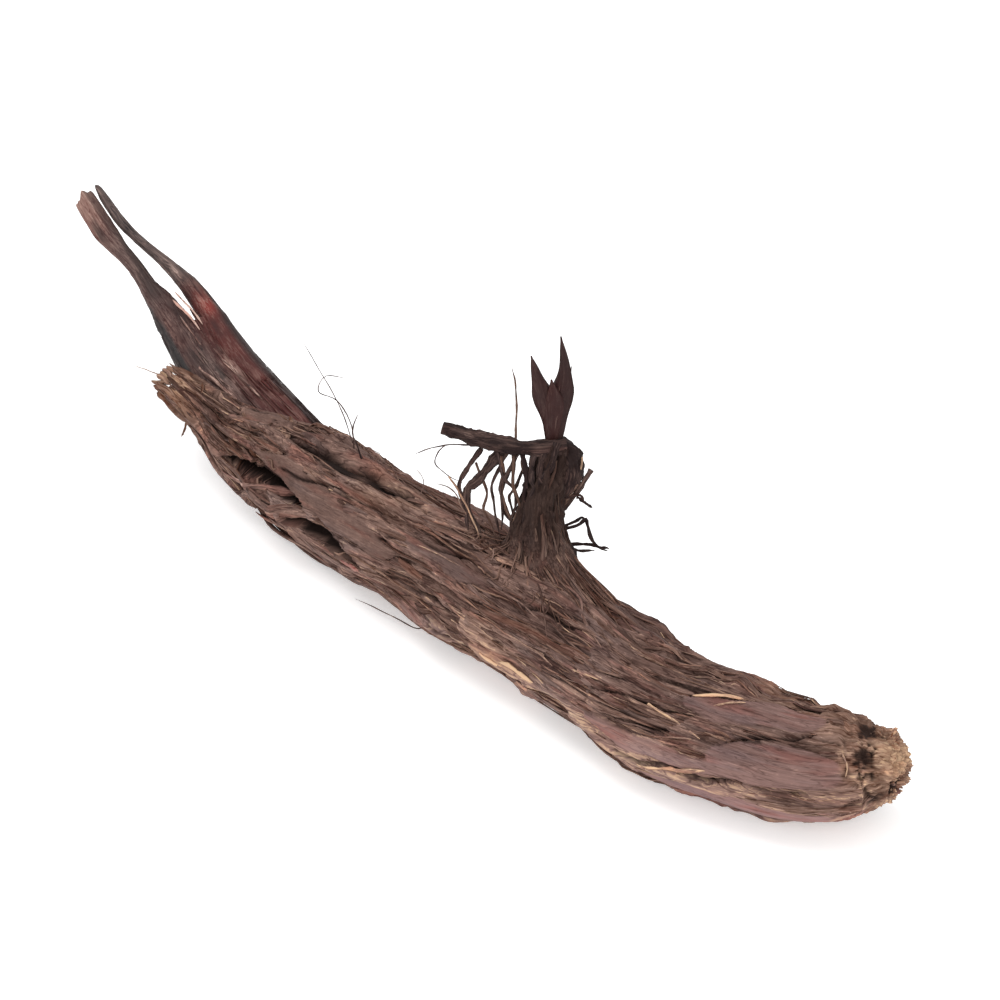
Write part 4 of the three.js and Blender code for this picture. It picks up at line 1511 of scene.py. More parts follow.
ROOTLETS = (
    Rootlet(
        ((3.6, -6.6, 9.6), (4.4, -6.0, 11.5), (5.0, -5.7, 12.1), (5.7, -5.2, 13.0), (6.3, -4.8, 13.8)),
        0.36, 0.4, 0.1,
    ),
    Rootlet(((3.8, -6.2, 12.0), (4.5, -6.5, 10.9), (5.0, -7.0, 9.8), (5.9, -7.4, 9.0)), 0.32, 0.2),
    Rootlet(
        (
            (3.6, -6.8, 9.8), (5.0, -6.5, 10.7), (5.9, -6.3, 11.0), (6.6, -6.2, 11.2), (7.3, -7.1, 9.5),
            (8.3, -7.2, 9.3),
        ),
        0.27, 0.2,
    ),
    Rootlet(((3.8, -7.6, 8.2), (5.7, -7.0, 9.4), (7.4, -7.2, 9.4), (8.4, -7.3, 9.2)), 0.32, 0.18),
    Rootlet(((3.8, -6.0, 12.4), (6.0, -5.3, 12.7), (6.6, -5.6, 12.2), (7.1, -5.8, 11.9)), 0.25, 0.24),
    Rootlet(
        (
            (0.7, -3.5, 16.0), (-0.3, -4.2, 14.9), (-1.3, -4.8, 13.8), (-2.2, -5.2, 13.0),
            (-2.0, -5.7, 11.6), (-1.1, -6.5, 9.4),
        ),
        0.85, 0.3,
    ),
    Rootlet(
        (
            (1.7, -3.7, 15.8), (1.0, -4.5, 14.3), (0.4, -5.2, 13.0), (0.6, -5.9, 11.8), (1.5, -6.5, 10.4),
            (2.2, -7.5, 8.6),
        ),
        0.33, 0.22,
    ),
    Rootlet(
        ((2.2, -4.1, 14.8), (1.5, -5.0, 13.3), (1.0, -5.4, 12.6), (1.3, -6.0, 11.5), (2.0, -6.5, 10.2)),
        0.27, 0.28,
    ),
    Rootlet(
        ((2.0, -3.5, 15.8), (2.0, -4.3, 14.6), (2.4, -4.8, 13.6), (2.7, -5.3, 12.7), (3.2, -5.9, 11.4)),
        0.32, 0.48, 0.15,
    ),
    Rootlet(
        ((1.0, -3.7, 15.8), (0.3, -4.3, 14.6), (-0.3, -5.0, 13.3), (-0.1, -5.8, 11.9), (0.3, -6.7, 9.8)),
        0.28, 0.3,
    ),
    Rootlet(((1.4, -3.7, 15.6), (1.5, -2.8, 17.3), (1.5, -1.6, 19.5), (1.2, -0.9, 21.2)), 0.2, 0.42, 0.1),
    Rootlet(
        (
            (3.4, -5.9, 11.0), (3.9, -5.7, 12.0), (4.9, -5.4, 12.6), (5.9, -4.8, 13.7), (6.4, -4.1, 14.9),
            (6.2, -3.6, 15.8),
        ),
        0.2, 0.9, 0.1,
    ),
    Rootlet(
        (
            (-0.8, -3.4, 16.2), (-1.7, -3.5, 16.0), (-3.3, -3.5, 16.0), (-4.7, -3.6, 15.8),
            (-6.1, -3.9, 15.4),
        ),
        0.14, 0.3,
    ),
    Rootlet(
        (
            (-3.8, -3.6, 16.0), (-4.3, -3.8, 15.5), (-4.5, -4.2, 14.8), (-3.7, -4.6, 14.1),
            (-2.5, -4.9, 13.5),
        ),
        0.11, 0.35,
    ),
    Rootlet(
        ((-1.8, -6.1, 10.6), (-2.5, -5.9, 12.0), (-3.2, -5.1, 13.0), (-4.4, -4.5, 13.2)),
        0.14, 0.55, 0.1,
    ),
    Rootlet(
        (
            (-10.7, 5.7, 8.6), (-10.9, 6.9, 10.6), (-12.0, 8.1, 12.0), (-13.4, 8.5, 12.6),
            (-12.8, 9.1, 13.6), (-11.0, 8.9, 13.4),
        ),
        0.1, 0.4,
    ),
    Rootlet(((-10.8, 6.3, 9.4), (-11.8, 8.5, 11.2), (-13.2, 9.5, 13.6), (-14.8, 10.5, 16.2)), 0.09, 0.35),
    Rootlet(((-9.8, 4.1, 8.6), (-10.4, 4.5, 10.2), (-10.8, 5.3, 11.2), (-10.4, 6.3, 12.0)), 0.16, 0.25),
    Rootlet(((-7.2, 1.3, 8.8), (-7.6, 1.5, 10.2), (-8.4, 1.9, 11.2)), 0.09, 0.6),
    Rootlet(((-5.8, -0.5, 9.0), (-5.4, -0.3, 10.4), (-6.0, -0.1, 11.6)), 0.08, 0.6),
    Rootlet(
        ((0.4, -4.2, 15.5), (0.5, -4.9, 14.3), (0.4, -5.6, 13.0), (1.0, -6.3, 11.6), (1.9, -7.0, 10.4)),
        0.36, 0.42, 0.12,
    ),
    Rootlet(
        ((1.3, -4.4, 15.7), (1.3, -5.6, 13.8), (1.7, -6.2, 12.7), (2.3, -6.7, 11.6), (2.7, -7.5, 10.4)),
        0.3, 0.36, 0.1,
    ),
    Rootlet(
        ((1.7, -4.2, 15.8), (0.8, -5.0, 14.4), (0.3, -5.5, 13.5), (0.5, -6.2, 12.2), (0.4, -6.8, 10.6)),
        0.28, 0.24,
    ),
    Rootlet(
        ((1.9, -4.7, 16.0), (2.3, -5.7, 14.5), (2.1, -6.2, 13.5), (2.5, -6.8, 12.4), (3.1, -7.7, 11.0)),
        0.42, 0.14,
    ),
    Rootlet(
        ((2.9, -4.7, 16.2), (2.6, -5.5, 15.0), (2.9, -6.2, 14.0), (3.7, -6.9, 12.7), (4.1, -7.9, 11.2)),
        0.5, 0.22,
    ),
    Rootlet(
        (
            (0.1, -4.1, 15.8), (0.5, -5.0, 14.3), (1.3, -5.5, 13.4), (1.5, -6.0, 12.4), (1.1, -6.6, 11.3),
            (1.2, -7.1, 9.9),
        ),
        0.3, 0.3,
    ),
    Rootlet(
        ((-1.5, -4.1, 14.8), (-0.7, -5.2, 13.0), (-0.9, -5.9, 11.8), (-0.3, -6.4, 10.7), (0.1, -6.9, 9.2)),
        0.24, 0.36, 0.1,
    ),
    Rootlet(
        (
            (3.7, -4.5, 16.3), (3.3, -5.3, 15.1), (3.7, -6.0, 14.0), (4.2, -6.8, 12.6), (4.7, -7.6, 11.4),
            (5.1, -8.5, 10.2),
        ),
        0.8, 0.2,
    ),
    Rootlet(
        (
            (4.5, -4.5, 16.8), (4.1, -5.4, 15.4), (3.1, -6.1, 14.2), (2.3, -6.9, 12.8), (2.1, -7.6, 11.5),
            (1.6, -8.3, 10.0),
        ),
        0.6, 0.12,
    ),
    Rootlet(
        (
            (3.6, -7.0, 10.9), (4.9, -7.1, 10.9), (6.1, -7.0, 11.2), (6.7, -6.8, 11.5), (7.0, -7.4, 10.4),
            (7.5, -7.8, 9.8), (8.3, -7.9, 9.5),
        ),
        0.3, 0.14,
    ),
    Rootlet(((4.4, -6.9, 11.6), (4.8, -7.8, 9.9), (5.7, -7.9, 9.6), (7.3, -8.0, 9.5)), 0.34, 0.12),
    Rootlet(((6.0, -5.4, 12.6), (6.6, -5.6, 12.2), (7.2, -5.8, 11.9)), 0.22, 0.18),
    Rootlet(((5.0, -7.7, 10.8), (5.6, -8.4, 9.7), (6.1, -9.0, 8.7), (6.7, -9.5, 7.6)), 0.7, 0.08),
    Rootlet(((2.9, -8.1, 12.0), (3.3, -9.3, 10.6), (4.1, -10.2, 9.4), (4.3, -10.9, 8.3)), 0.3, 0.05),
    Rootlet(
        ((7.0, -4.6, 14.4), (6.2, -4.9, 13.0), (5.2, -5.3, 11.7), (4.6, -5.6, 11.2), (3.6, -6.2, 10.6)),
        0.44, 0.44,
    ),
    Rootlet(
        (
            (-3.5, -5.0, 14.2), (-2.8, -5.6, 13.3), (-2.2, -6.1, 12.3), (-1.6, -6.7, 11.1),
            (-1.2, -7.0, 10.0),
        ),
        0.16, 0.8, 0.2,
    ),
    Rootlet(
        (
            (-1.1, -3.9, 15.9), (-2.1, -4.5, 14.6), (-2.7, -5.0, 13.4), (-2.2, -5.9, 11.6),
            (-2.1, -6.4, 10.2),
        ),
        0.42, 0.22,
    ),
    Rootlet(((-4.8, -5.3, 1.8), (-5.8, -6.0, 1.0), (-8.1, -3.6, 0.6), (-10.6, -1.6, 0.6)), 0.12, 0.55),
    Rootlet(((-25.0, 19.1, 6.4), (-26.4, 19.9, 6.6), (-27.8, 20.5, 6.8)), 0.09, 0.6, 0.3),
    Rootlet(
        ((-23.3, 16.4, 5.0), (-23.7, 16.1, 4.5), (-23.9, 15.7, 4.0), (-24.1, 15.4, 3.7)),
        0.22, 0.12, 0.4,
    ),
)


@dataclass(frozen=True)
class RootletSet(FibreSet):
    """Fine roots laid through their places, a little uneven and with fine tips."""

    chosen: tuple[Rootlet, ...]
    rings: int = 26
    swing: Triple = (0.05, 0.05, 0.04)
    away: Triple = (0.1, -0.4, 0.9)
    flat: float = 0.85

    def path(self) -> np.ndarray:
        """The smooth line through each rootlet's places."""
        share = np.linspace(0, 1, self.rings)
        return np.stack([smooth_curve(np.array(one.course) - MIDDLE, share) for one in self.chosen])

    def fibres(self) -> Fibres:
        """Lays the rootlets.

        Returns:
            Them as fibres.
        """
        share = np.linspace(0, 1, self.rings)
        phase = np.arange(len(self.chosen))[:, None]
        thick = column(self.chosen, "thick")
        swing = np.sin(19 * share + 3 * phase)[..., None] * np.array(self.swing)
        uneven = 1 + 0.16 * np.sin(23 * share + 2.1 * phase) + 0.1 * np.sin(57 * share + phase)
        form = np.clip(1.1 - 0.5 * share, 0, 1) * np.clip((1 - share) * 9, 0.25, 1) ** 0.7
        wide = 0.5 * thick * form * uneven
        path = self.path() + swing * thick[..., None] * 2
        return Fibres(
            path=path,
            away=np.broadcast_to(np.array(self.away), path.shape),
            wide=wide,
            thick=wide * self.flat,
            tone=column(self.chosen, "tone"),
            warm=column(self.chosen, "warm"),
        )


BLADES = (
    Rootlet(
        ((4.1, -3.7, 15.7), (4.0, -3.1, 17.5), (3.5, -2.5, 19.5), (3.0, -1.9, 21.1), (2.6, -1.5, 22.6)),
        1.5, 0.05, 0.25,
    ),
    Rootlet(((4.1, -3.6, 15.7), (4.1, -3.0, 17.6), (3.8, -2.3, 19.4), (3.6, -2.0, 20.6)), 0.8, 0.12, 0.35),
    Rootlet(((4.2, -3.8, 15.7), (4.3, -3.2, 17.5), (4.3, -2.6, 19.3), (4.1, -2.1, 20.9)), 1.9, 0.04, 0.32),
    Rootlet(
        ((4.3, -3.7, 15.7), (4.6, -3.1, 17.5), (4.9, -2.4, 19.6), (5.1, -1.7, 21.6), (4.8, -1.0, 24.0)),
        1.65, 0.04, 0.2,
    ),
    Rootlet(((4.3, -3.6, 15.7), (4.7, -3.0, 17.6), (5.2, -2.2, 19.8), (5.6, -1.7, 21.8)), 0.8, 0.1, 0.35),
    Rootlet(((4.2, -3.7, 15.8), (4.3, -3.2, 17.8), (4.6, -2.7, 19.0), (4.7, -2.2, 20.4)), 0.5, 0.35, 0.5),
)


@dataclass(frozen=True)
class BladeSet(RootletSet):
    """Flat, pointed blades that face the front."""

    away: Triple = (0.0, -0.85, 0.5)
    turn: float = 0.4
    flat: float = 0.2
    dark: float = 0.6

    def fibres(self) -> Fibres:
        """Lays the blades.

        Returns:
            Them as fibres.
        """
        share = np.linspace(0, 1, self.rings)
        phase = np.arange(len(self.chosen))[:, None]
        turned = self.turn * np.sin(phase + 2 * share)[..., None] * np.array((1.0, 0.0, 0.0))
        form = np.clip(0.4 + 1.3 * share, 0, 1) * np.clip((1 - share) * 2.4, 0.06, 1) ** 0.9
        uneven = 1 + 0.08 * np.sin(15 * share + 2 * phase)
        wide = 0.5 * column(self.chosen, "thick") * form * uneven
        return Fibres(
            path=self.path(),
            away=np.array(self.away) + turned,
            wide=wide,
            thick=wide * self.flat,
            tone=column(self.chosen, "tone"),
            warm=column(self.chosen, "warm"),
            dark=self.dark,
        )


@dataclass(frozen=True)
class RibbedTube:
    """One limb as a ribbed tube with round closed ends."""

    name: str
    limb: Limb
    rings: int
    sides: int
    ribs: int
    rib_height: float
    tone: float
    seed: int
    twist: float = 0.5
    rounded: float = 0.03
    painted_shade_upward: float = 0.0

    def build(self, material: bpy.types.Material) -> bpy.types.Object:
        """Makes the limb's skin.

        Args:
            material: Its finish.

        Returns:
            The piece.
        """
        mesh, ring, angle = grid_tube(self.rings, self.sides)
        share = ring / (self.rings - 1)
        t = np.clip((share - self.rounded) / (1 - 2 * self.rounded), 0, 1)
        cap = np.clip(np.minimum(share, 1 - share) / self.rounded, 0, 1) ** 0.5
        drifted = angle + self.twist * t
        rib = 0.5 - np.abs(streaky(self.seed, t, drifted, (6, self.ribs)))
        thread = 0.5 - np.abs(streaky(self.seed + 1, t, drifted, (16, self.ribs * 2 + 1)))
        lift = self.rib_height * (rib + 0.6 * thread)
        here = self.limb.place(t)
        write_points(mesh, self.limb.skin(t, angle, cap, lift * cap))
        radius = here.size.mean(axis=1)
        grain = np.stack((t * self.limb.length, radius * np.cos(drifted), radius * np.sin(drifted)), axis=1)
        # Painted shade in the grooves between the ribs, and painted shade that darkens the limb towards its
        # top.
        hollow = smooth_step(0.0, self.rib_height * 0.8, -lift) * 0.7
        hollow += self.painted_shade_upward * smooth_step(0.1, 0.6, t)
        tone = self.tone + 0.2 * streaky(self.seed + 2, t, drifted, (9, self.ribs))
        write_grains(mesh, grain, tone=tone, hollow=hollow)
        return settle(mesh, self.name, material)


def prong_tints(t: np.ndarray, side: np.ndarray) -> dict[str, np.ndarray]:
    """The prong's colours: blue-grey at its left edge, red-brown at its right, a bright red spot, and
    painted highlights on its base.

    Args:
        t: Places along the prong.
        side: How far to the left of its middle each place is.

    Returns:
        The tone, warmth, plum tint and hollow of each place.
    """
    base = smooth_step(0.74, 0.62, t)
    tip = smooth_step(0.84, 1.0, t)
    red = smooth_step(0.3, -0.8, side) * base
    edge = smooth_step(1.75, 2.2, side) * smooth_step(0.3, 0.45, t)
    low = smooth_step(0.5, 0.34, t)
    # Painted highlights: a long grey-pink streak and a pink spot on the base stand for its satin sheen.
    painted_sheen = spot(t, side, (0.4, 0.45), (0.1, 0.5))
    painted_pink_sheen = spot(t, side, (0.38, -0.75), (0.08, 0.25))
    glow = spot(t, side, (0.583, -1.85), (0.036, 0.42))
    olive = spot(t, side, (0.665, -1.75), (0.04, 0.5))
    earthy = spot(t, side, (0.715, -1.2), (0.03, 0.4))
    black = smooth_step(-2.1, -2.45, side) * base
    left_tip = tip * smooth_step(-0.3, 0.2, side)
    left = (1 - base) * smooth_step(-0.3, 0.1, side)
    right = (1 - base) * smooth_step(0.1, -0.3, side)
    seam = left * smooth_step(0.75, 0.35, side - 6 * np.maximum(0.86 - t, 0))
    tone = 0.23 + 0.34 * painted_sheen + 0.34 * painted_pink_sheen + 0.1 * glow + 0.22 * olive + 0.34 * earthy + 0.2 * left_tip
    tone += 0.2 * left + 0.3 * right + 0.1 * low - 0.2 * red * (1 - painted_pink_sheen) - 0.1 * edge
    warm = 0.14 + 0.2 * red + 0.75 * glow + 0.3 * left_tip - 0.3 * edge - 0.3 * right
    plum = 0.3 + 0.3 * painted_sheen + 0.4 * edge + 0.25 * left + 0.3 * right - 0.5 * red - glow - 0.6 * left_tip
    return {
        "tone": tone,
        "warm": np.clip(warm, 0, 1),
        "plum": np.clip(plum, 0, 1),
        "hollow": np.clip(0.8 * black + 0.6 * seam, 0, 1),
    }


@dataclass(frozen=True)
class Strap:
    """A strap of the prong, through rows of a t, its middle, its half width and its half height."""

    name: str
    seed: int
    form: tuple[tuple[float, float, float, float], ...]
    rings: int = 110
    sides: int = 28

    def build(self, material: bpy.types.Material) -> bpy.types.Object:
        """Makes the strap.

        Args:
            material: Its finish.

        Returns:
            The piece.
        """
        mesh, ring, angle = grid_tube(self.rings, self.sides)
        share = ring / (self.rings - 1)
        form = np.array(self.form)
        t, middle, wide, high = smooth_curve(form, np.clip((share - 0.02) / 0.96, 0, 1)).T
        teeth = np.abs(streaky(self.seed + 2, share * 0, angle, (1, 7)))
        t = t + 0.022 * teeth * smooth_step(0.93, 1.0, share)
        cap = np.clip(np.minimum(share, 1 - share) / 0.02, 0, 1) ** 0.5
        rib = 0.5 - np.abs(streaky(self.seed, share, angle, (7, 9)))
        thread = 0.5 - np.abs(streaky(self.seed + 1, share, angle, (20, 19)))
        lift = (0.22 * rib + 0.12 * thread) * np.minimum(wide, 1)
        here = PRONG.place(t)
        across = (middle + np.cos(angle) * (wide + lift) * cap)[:, None]
        above = (np.sin(angle) * (high + lift) * cap)[:, None]
        past = here.ahead * (np.maximum(t - 1, 0) * PRONG.length)[:, None]
        write_points(mesh, here.middle + here.out * across + here.up * above + past)
        grain = np.stack((t * PRONG.length, np.cos(angle) * wide, np.sin(angle) * high), axis=1)
        tints = prong_tints(t, np.cos(angle) * wide + middle)
        tints["tone"] += 0.12 * rib
        # Painted shade in the grooves between the ribs.
        tints["hollow"] = np.maximum(tints["hollow"], smooth_step(0.1, 0.45, -rib) * 0.6)
        write_grains(mesh, grain, **tints)
        return settle(mesh, self.name, material)


STRAPS = (
    Strap(
        'prong_base', 221,
        (
            (0.0, 0.0, 2.8, 2.1), (0.18, 0.0, 2.85, 2.0), (0.35, 0.0, 2.8, 1.7), (0.46, 0.0, 2.6, 1.25),
            (0.56, 0.1, 2.1, 0.8),
        ),
        150, 72,
    ),
    Strap(
        'left_strap', 223,
        (
            (0.3, 1.0, 1.75, 1.75), (0.48, 1.0, 1.7, 1.3), (0.6, 1.05, 1.34, 0.8), (0.68, 1.12, 1.0, 0.6),
            (0.75, 1.12, 0.64, 0.5), (0.83, 1.0, 0.64, 0.45), (0.91, 0.9, 0.82, 0.4),
            (1.012, 0.72, 0.8, 0.34),
        ),
    ),
    Strap(
        'right_strap', 225,
        (
            (0.3, -1.5, 1.3, 1.7), (0.48, -1.65, 1.05, 1.25), (0.58, -1.58, 0.9, 0.8),
            (0.66, -1.5, 0.76, 0.62), (0.715, -1.34, 0.62, 0.5), (0.76, -1.0, 0.45, 0.46),
            (0.81, -0.75, 0.38, 0.42), (0.86, -0.62, 0.36, 0.38), (0.92, -0.58, 0.4, 0.34),
            (0.97, -0.56, 0.37, 0.3), (1.012, -0.62, 0.25, 0.25),
        ),
    ),
    Strap(
        'middle_strap', 227,
        (
            (0.6, 0.55, 0.26, 0.3), (0.68, 0.6, 0.18, 0.25), (0.76, 0.62, 0.15, 0.2),
            (0.84, 0.45, 0.13, 0.18), (0.9, 0.33, 0.12, 0.15),
        ),
        60, 14,
    ),
)


@dataclass(frozen=True)
class ProngThreads(FibreSet):
    """Fine fibres along the prong's skin."""

    name: str = "prong_threads"
    sides: int = 4
    seed: int = 231
    count: int = 190
    rings: int = 9

    def fibres(self) -> Fibres:
        """Lays the threads.

        Returns:
            The fibres.
        """
        draws = Draws(self.seed, self.count)
        drawn = draws.between
        share = steps(self.rings)
        start = drawn(0.02, 0.56)
        t = np.minimum(start + drawn(0.04, 0.16) * share, 0.6)
        angle = drawn(-0.6, 3.9) + draws.round_zero(0.06) * share
        lift = drawn(-0.05, 0.07) + 0.03 * np.sin(math.pi * share)
        wide = drawn(0.04, 0.1) * tapered(share)
        tints = prong_tints(t, np.cos(angle) * PRONG.place(t).size[..., 0])
        return Fibres(
            path=PRONG.skin(t, angle, 1.0, lift),
            away=PRONG.away(t, angle),
            wide=wide,
            thick=0.5 * wide,
            tone=tints["tone"] + drawn(-0.16, 0.16),
            warm=tints["warm"],
            dark=tints["hollow"],
            plum=tints["plum"],
        )


@dataclass(frozen=True)
class RootCrown(FibreSet):
    """The fibres that rise from the bark round the stub and run up to its neck."""

    name: str = "crown_fibres"
    sides: int = 5
    seed: int = 241
    count: int = 130
    rings: int = 14

    def fibres(self) -> Fibres:
        """Lays the rising fibres.

        Returns:
            The fibres.
        """
        draws = Draws(self.seed, self.count)
        drawn = draws.between
        share = steps(self.rings)
        top = drawn(0.45, 1.0)
        angle = drawn(0, TURN) + draws.round_zero(0.25) * share
        t = 0.06 + (top - 0.06) * share
        wave = drawn(0.05, 0.3) * np.sin(TURN * (share * 1.5 + drawn(0, 1)))
        angle = angle + wave
        lift = drawn(-0.25, 0.15) + 0.8 * wave
        wide = drawn(0.07, 0.34) * (1.1 - 0.5 * share) * np.clip((1 - share) * 8, 0.3, 1)
        return Fibres(
            path=STUB.skin(t, angle, 1.0, lift),
            away=STUB.away(t, angle),
            wide=wide,
            thick=0.7 * wide,
            tone=drawn(0.15, 0.6),
            warm=drawn(0, 0.15),
            # Painted shade: the fibres darken as they rise up the shaded stub.
            dark=0.9 * smooth_step(0.1, 0.55, t) * drawn(0.6, 1.2),
        )


@dataclass(frozen=True)
class CrownSkirt(FibreSet):
    """The fibres that run from the stub down over its foot and fan out on the bark to both sides."""

    name: str = "crown_skirt"
    sides: int = 4
    seed: int = 251
    count: int = 170
    rings: int = 18

    def fibres(self) -> Fibres:
        """Lays the fanning fibres.

        Returns:
            The fibres.
        """
        drawn = Draws(self.seed, self.count).between
        around = drawn(0.0, TURN)
        along, down = np.cos(around), np.maximum(-np.sin(around), 0)
        top = drawn(0.25, 0.6)
        foot_t = 0.46 - 0.085 * along
        foot_angle = np.arccos(np.clip(-(1.8 + 2.8 * np.sin(around)) / 4.5, -1, 1))
        points = [STUB.skin(top, around + drawn(-0.2, 0.2), 1.0, drawn(-0.1, 0.2))]
        points.append(STUB.skin(0.5 * (top + 0.3), around, 1.0, drawn(-0.1, 0.12)))
        farthest, turn = drawn(0.2, 1.25), drawn(-0.5, 0.5)
        farthest *= 1 - 0.75 * smooth_step(0.1, -0.5, along)
        for near, lift in ((0.06, 0.12), (0.5, 0.03), (1.0, -0.04)):
            reach = near * farthest
            t = foot_t - 0.1 * reach * along + 0.035 * turn * near**2 + drawn(-0.006, 0.006)
            angle = foot_angle - (0.1 + 0.5 * down) * reach + 0.25 * turn * near + drawn(-0.06, 0.06)
            points.append(BARK.skin(t, angle, 1.0, RELIEF.level(t, angle) + lift + drawn(-0.08, 0.1)))
        rows = np.concatenate(points, axis=1)
        share = np.linspace(0, 1, self.rings)
        path = np.stack([smooth_curve(row, share) for row in rows])
        middle = BARK.place(np.array([0.44])).middle[0]
        wide = (0.035 + 0.12 * drawn(0.0, 1.0) ** 2) * tapered(share)[None, :]
        return Fibres(
            path=path,
            away=unit(path - middle),
            wide=wide,
            thick=0.6 * wide,
            tone=drawn(0.2, 0.56),
            warm=drawn(0, 0.15),
            # Painted shade: the fibres are darker where they start on the shaded stub.
            dark=0.5 * smooth_step(0.5, 0.0, share)[None, :],
        )


@dataclass(frozen=True)
class TongueFibres(FibreSet):
    """The short, curly, warm fibres of the torn tongue."""

    name: str = "tongue_fibres"
    sides: int = 4
    seed: int = 261
    count: int = 170
    rings: int = 9

    def fibres(self) -> Fibres:
        """Lays the torn fibres.

        Returns:
            The fibres.
        """
        draws = Draws(self.seed, self.count)
        drawn = draws.between
        share = steps(self.rings)
        start = 1 - 0.2 * drawn(0, 1) ** 1.4
        t = np.clip(start + drawn(0.01, 0.05) * share, 0, 1)
        angle = drawn(0, TURN) + draws.round_zero(0.2) * share
        curl = 0.06 * np.sin(TURN * (drawn(0.5, 1.4) * share + drawn(0, 1)))
        lift = RELIEF.level(t, angle) * np.clip((1 - t) * 20, 0, 1)
        lift += drawn(-0.14, 0.06) + drawn(0, 0.2) * share**2
        past = np.clip(start + 0.05 * share - 1, 0, 1) * BARK.length * 0.3
        wide = drawn(0.08, 0.26) * tapered(share)
        path = BARK.skin(t, angle + curl, 1.0, lift) + BARK.place(t).ahead * past[..., None]
        tip = smooth_step(0.96, 1.0, start)
        cream = np.exp(-((wrapped(angle[:, :1] - 0.9) / 0.35) ** 2))
        return Fibres(
            path=path,
            away=BARK.away(t, angle),
            wide=wide,
            thick=0.5 * wide,
            tone=drawn(0.12, 0.5) + 0.06 * tip + 0.5 * tip * cream,
            warm=drawn(0.0, 0.26) + 0.06 * tip,
            dark=np.clip(drawn(-0.5, 0.5), 0, 1),
        )


@dataclass(frozen=True)
class BrokenEnd(FibreSet):
    """The crumbs and short broken fibres of the face at the right end."""

    name: str = "end_fibres"
    sides: int = 5
    seed: int = 271
    crumbs: int = 170
    stubs: int = 34
    rings: int = 6
    bulge: float = 1.3

    def fibres(self) -> Fibres:
        """Lays the broken fibres, which point out of the face.

        Returns:
            The fibres.
        """
        draws = Draws(self.seed, self.stubs)
        drawn = draws.between
        share = steps(self.rings)
        radius = np.sqrt(drawn(0.1, 0.6))
        angle = drawn(0, TURN) + draws.round_zero(0.1) * share
        t = np.zeros_like(radius * share)
        out = self.bulge * (1 - radius**2) + drawn(0.1, 0.6) * share - 0.6
        wide = drawn(0.05, 0.16) * np.ones_like(share)
        spread = 1 + drawn(-0.05, 0.08) * share
        path = BARK.skin(t, angle, radius * spread) - BARK.place(t).ahead * out[..., None]
        return Fibres(
            path=path,
            away=BARK.away(t, angle),
            wide=wide,
            thick=0.6 * wide,
            tone=drawn(0.2, 0.9),
            warm=drawn(0.1, 0.6),
        )

    def build_crumbs(self, material: bpy.types.Material) -> bpy.types.Object:
        """Makes the crumbs, as small lumps on the face.

        Args:
            material: Their finish.

        Returns:
            The piece.
        """
        drawn = Draws(self.seed + 1, self.crumbs).row
        on_face = drawn(0, 1) < 0.5
        radius = np.where(on_face, np.sqrt(drawn(0, 0.6)), 0.77)
        t = np.where(on_face, 0.0, drawn(0, 0.042))
        angle = drawn(0, TURN)
        places = BARK.skin(t, angle, radius, 0.0)
        ahead = BARK.place(t).ahead
        places -= ahead * (on_face * (self.bulge * (1 - radius**2) + drawn(-0.9, -0.3)))[:, None]
        sizes = 0.07 + 0.15 * drawn(0, 1) ** 2
        shape = bmesh.new()
        for i in range(self.crumbs):
            made = bmesh.ops.create_icosphere(shape, subdivisions=2, radius=sizes[i])
            bmesh.ops.translate(shape, verts=made["verts"], vec=places[i])
        mesh = bpy.data.meshes.new("crumbs")
        shape.to_mesh(mesh)
        shape.free()
        points = read_points(mesh)
        crumb = np.arange(len(points)) // (len(points) // self.crumbs)
        centre = places[crumb]
        rough = np.sin(points @ np.array((5.1, 3.3, 7.7)))
        rough += np.sin(points @ np.array((-9.2, 6.4, 4.1)) + crumb)
        write_points(mesh, centre + (points - centre) * (1 + 0.22 * rough)[:, None])
        write_grains(
            mesh,
            points,
            tone=drawn(0.12, 0.82)[crumb],
            # Painted shade where each crumb's surface dips.
            hollow=np.clip(0.6 - rough, 0, 1) * 0.3,
            warm=drawn(0.0, 0.7)[crumb],
            plum=(drawn(0, 1) > 0.7)[crumb] * 0.8,
        )
        return settle(mesh, "end_crumbs", material)


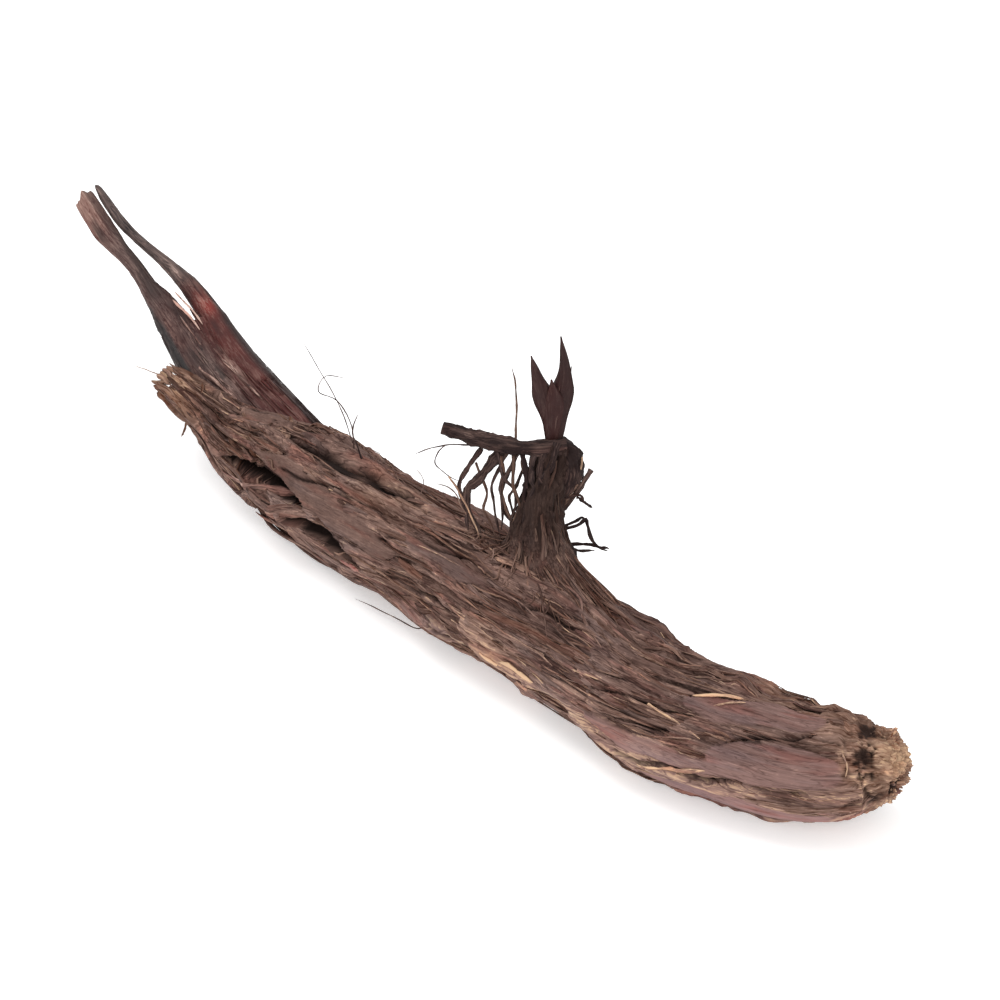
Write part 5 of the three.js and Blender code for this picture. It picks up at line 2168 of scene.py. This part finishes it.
@dataclass(frozen=True)
class Studio:
    """The pale floor, the soft lights and the camera at the photograph's angle."""

    floor_size: float = 3.0
    floor_white: float = 0.93
    floor_glow: float = 0.35
    sky: float = 0.86
    lamp_size: float = 0.7
    lamps: tuple[tuple[str, Triple, float], ...] = (
        ("key", (-0.3, 0.25, 0.95), 4.4),
        ("fill", (0.2, -0.85, 0.45), 3.0),
    )
    target: Triple = (0.3, 5.05, 5.0)
    elevation: float = 35.0
    distance: float = 0.7
    view_width: float = 75.6

    def build(self) -> None:
        """Makes the floor, the lights and the camera."""
        self._floor()
        self._lights()
        self._camera()

    def _floor(self) -> None:
        """A plain white floor."""
        shape = bmesh.new()
        bmesh.ops.create_grid(shape, x_segments=1, y_segments=1, size=self.floor_size)
        mesh = bpy.data.meshes.new("floor")
        shape.to_mesh(mesh)
        shape.free()
        nodes = NodeMaker("floor_white")
        nodes.shader.inputs["Base Color"].default_value = (*[self.floor_white] * 3, 1)
        nodes.shader.inputs["Roughness"].default_value = 0.9
        nodes.shader.inputs["Emission Color"].default_value = (1, 1, 1, 1)
        nodes.shader.inputs["Emission Strength"].default_value = self.floor_glow
        mesh.materials.append(nodes.material)
        floor = bpy.data.objects.new("floor", mesh)
        bpy.context.scene.collection.objects.link(floor)

    def _lights(self) -> None:
        """A bright sky all round and a large soft lamp high at the left and back."""
        scene = bpy.context.scene
        world = bpy.data.worlds.new("studio")
        scene.world = world
        world.use_nodes = True
        world.node_tree.nodes["Background"].inputs["Color"].default_value = (1, 1, 1, 1)
        world.node_tree.nodes["Background"].inputs["Strength"].default_value = self.sky
        for name, place, power in self.lamps:
            lamp = bpy.data.lights.new(name, "AREA")
            lamp.size = self.lamp_size
            lamp.energy = power
            light = bpy.data.objects.new(name, lamp)
            light.location = place
            light.rotation_mode = "QUATERNION"
            light.rotation_quaternion = (-Vector(place)).to_track_quat("-Z", "Y")
            scene.collection.objects.link(light)
        scene.view_settings.view_transform = "Standard"

    def _camera(self) -> None:
        """The camera at the photograph's angle, close on this root."""
        data = bpy.data.cameras.new("camera")
        data.sensor_width = 36.0
        data.lens = data.sensor_width * self.distance / (self.view_width * METRES)
        camera = bpy.data.objects.new("camera", data)
        lift = math.radians(self.elevation)
        back = Vector((0, -math.cos(lift), math.sin(lift)))
        camera.location = Vector(np.array(self.target) - MIDDLE) * METRES + back * self.distance
        camera.rotation_mode = "QUATERNION"
        camera.rotation_quaternion = (-back).to_track_quat("-Z", "Y")
        bpy.context.scene.collection.objects.link(camera)
        bpy.context.scene.camera = camera


BARK_BROWN = BarkFinish("bark_brown")
SIDE_ROOT_BROWN = BarkFinish(
    "side_root_brown",
    dark=(36, 24, 23),
    body=(78, 60, 55),
    pale=(116, 94, 86),
    ruddy=0.4,
)
PRONG_BROWN = BarkFinish(
    "prong_brown",
    deep=(20, 12, 12),
    dark=(26, 17, 16),
    body=(62, 41, 37),
    pale=(112, 84, 75),
    bright=(196, 164, 150),
    warm=(118, 42, 34),
    plum=(74, 63, 60),
    ruddy=0.5,
    dusty=0.2,
    rough=0.62,
    shine=0.25,
)


def main() -> None:
    """Builds the root piece by piece on its floor."""
    logging.basicConfig(level=logging.INFO, format="%(relativeCreated)d ms  %(message)s")
    # Blender's noise vectors are other ones in each run until they have a seed.
    noise.seed_set(NOISE_SEED)
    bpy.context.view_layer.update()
    Studio().build()
    bark, dark, red = BARK_BROWN.made(), SIDE_ROOT_BROWN.made(), PRONG_BROWN.made()
    Bark().build(bark)
    for family in STRANDS:
        family.build(bark)
    for strap in STRAPS:
        strap.build(red)
    ProngThreads().build(red)
    RibbedTube("flap", FLAP, 70, 28, 7, 0.35, 0.4, 207).build(bark)
    RibbedTube("stub", STUB, 90, 80, 19, 0.7, 0.33, 209, painted_shade_upward=0.8).build(bark)
    BladeSet("blades", 8, BLADES).build(red)
    RibbedTube("crosspiece", CROSSPIECE, 60, 24, 6, 0.32, 0.16, 215).build(dark)
    RibbedTube("hook", HOOK, 60, 24, 7, 0.45, 0.12, 217).build(dark)
    RootCrown().build(bark)
    CrownSkirt().build(bark)
    RootletSet("rootlets", 7, ROOTLETS).build(dark)
    RibbonSet("gash_straps", 8, GASH_STRAPS).build(bark)
    RibbonSet("gash_glints", 8, GASH_GLINTS).build(red)
    RibbonSet("slivers_and_highlights", 6, SLIVERS_AND_HIGHLIGHTS).build(bark)
    RibbonSet("prong_painted_highlights", 6, PRONG_PAINTED_HIGHLIGHTS, PRONG).build(red)
    TongueFibres().build(bark)
    BrokenEnd().build(bark)
    BrokenEnd().build_crumbs(bark)


if __name__ == "__main__":
    main()
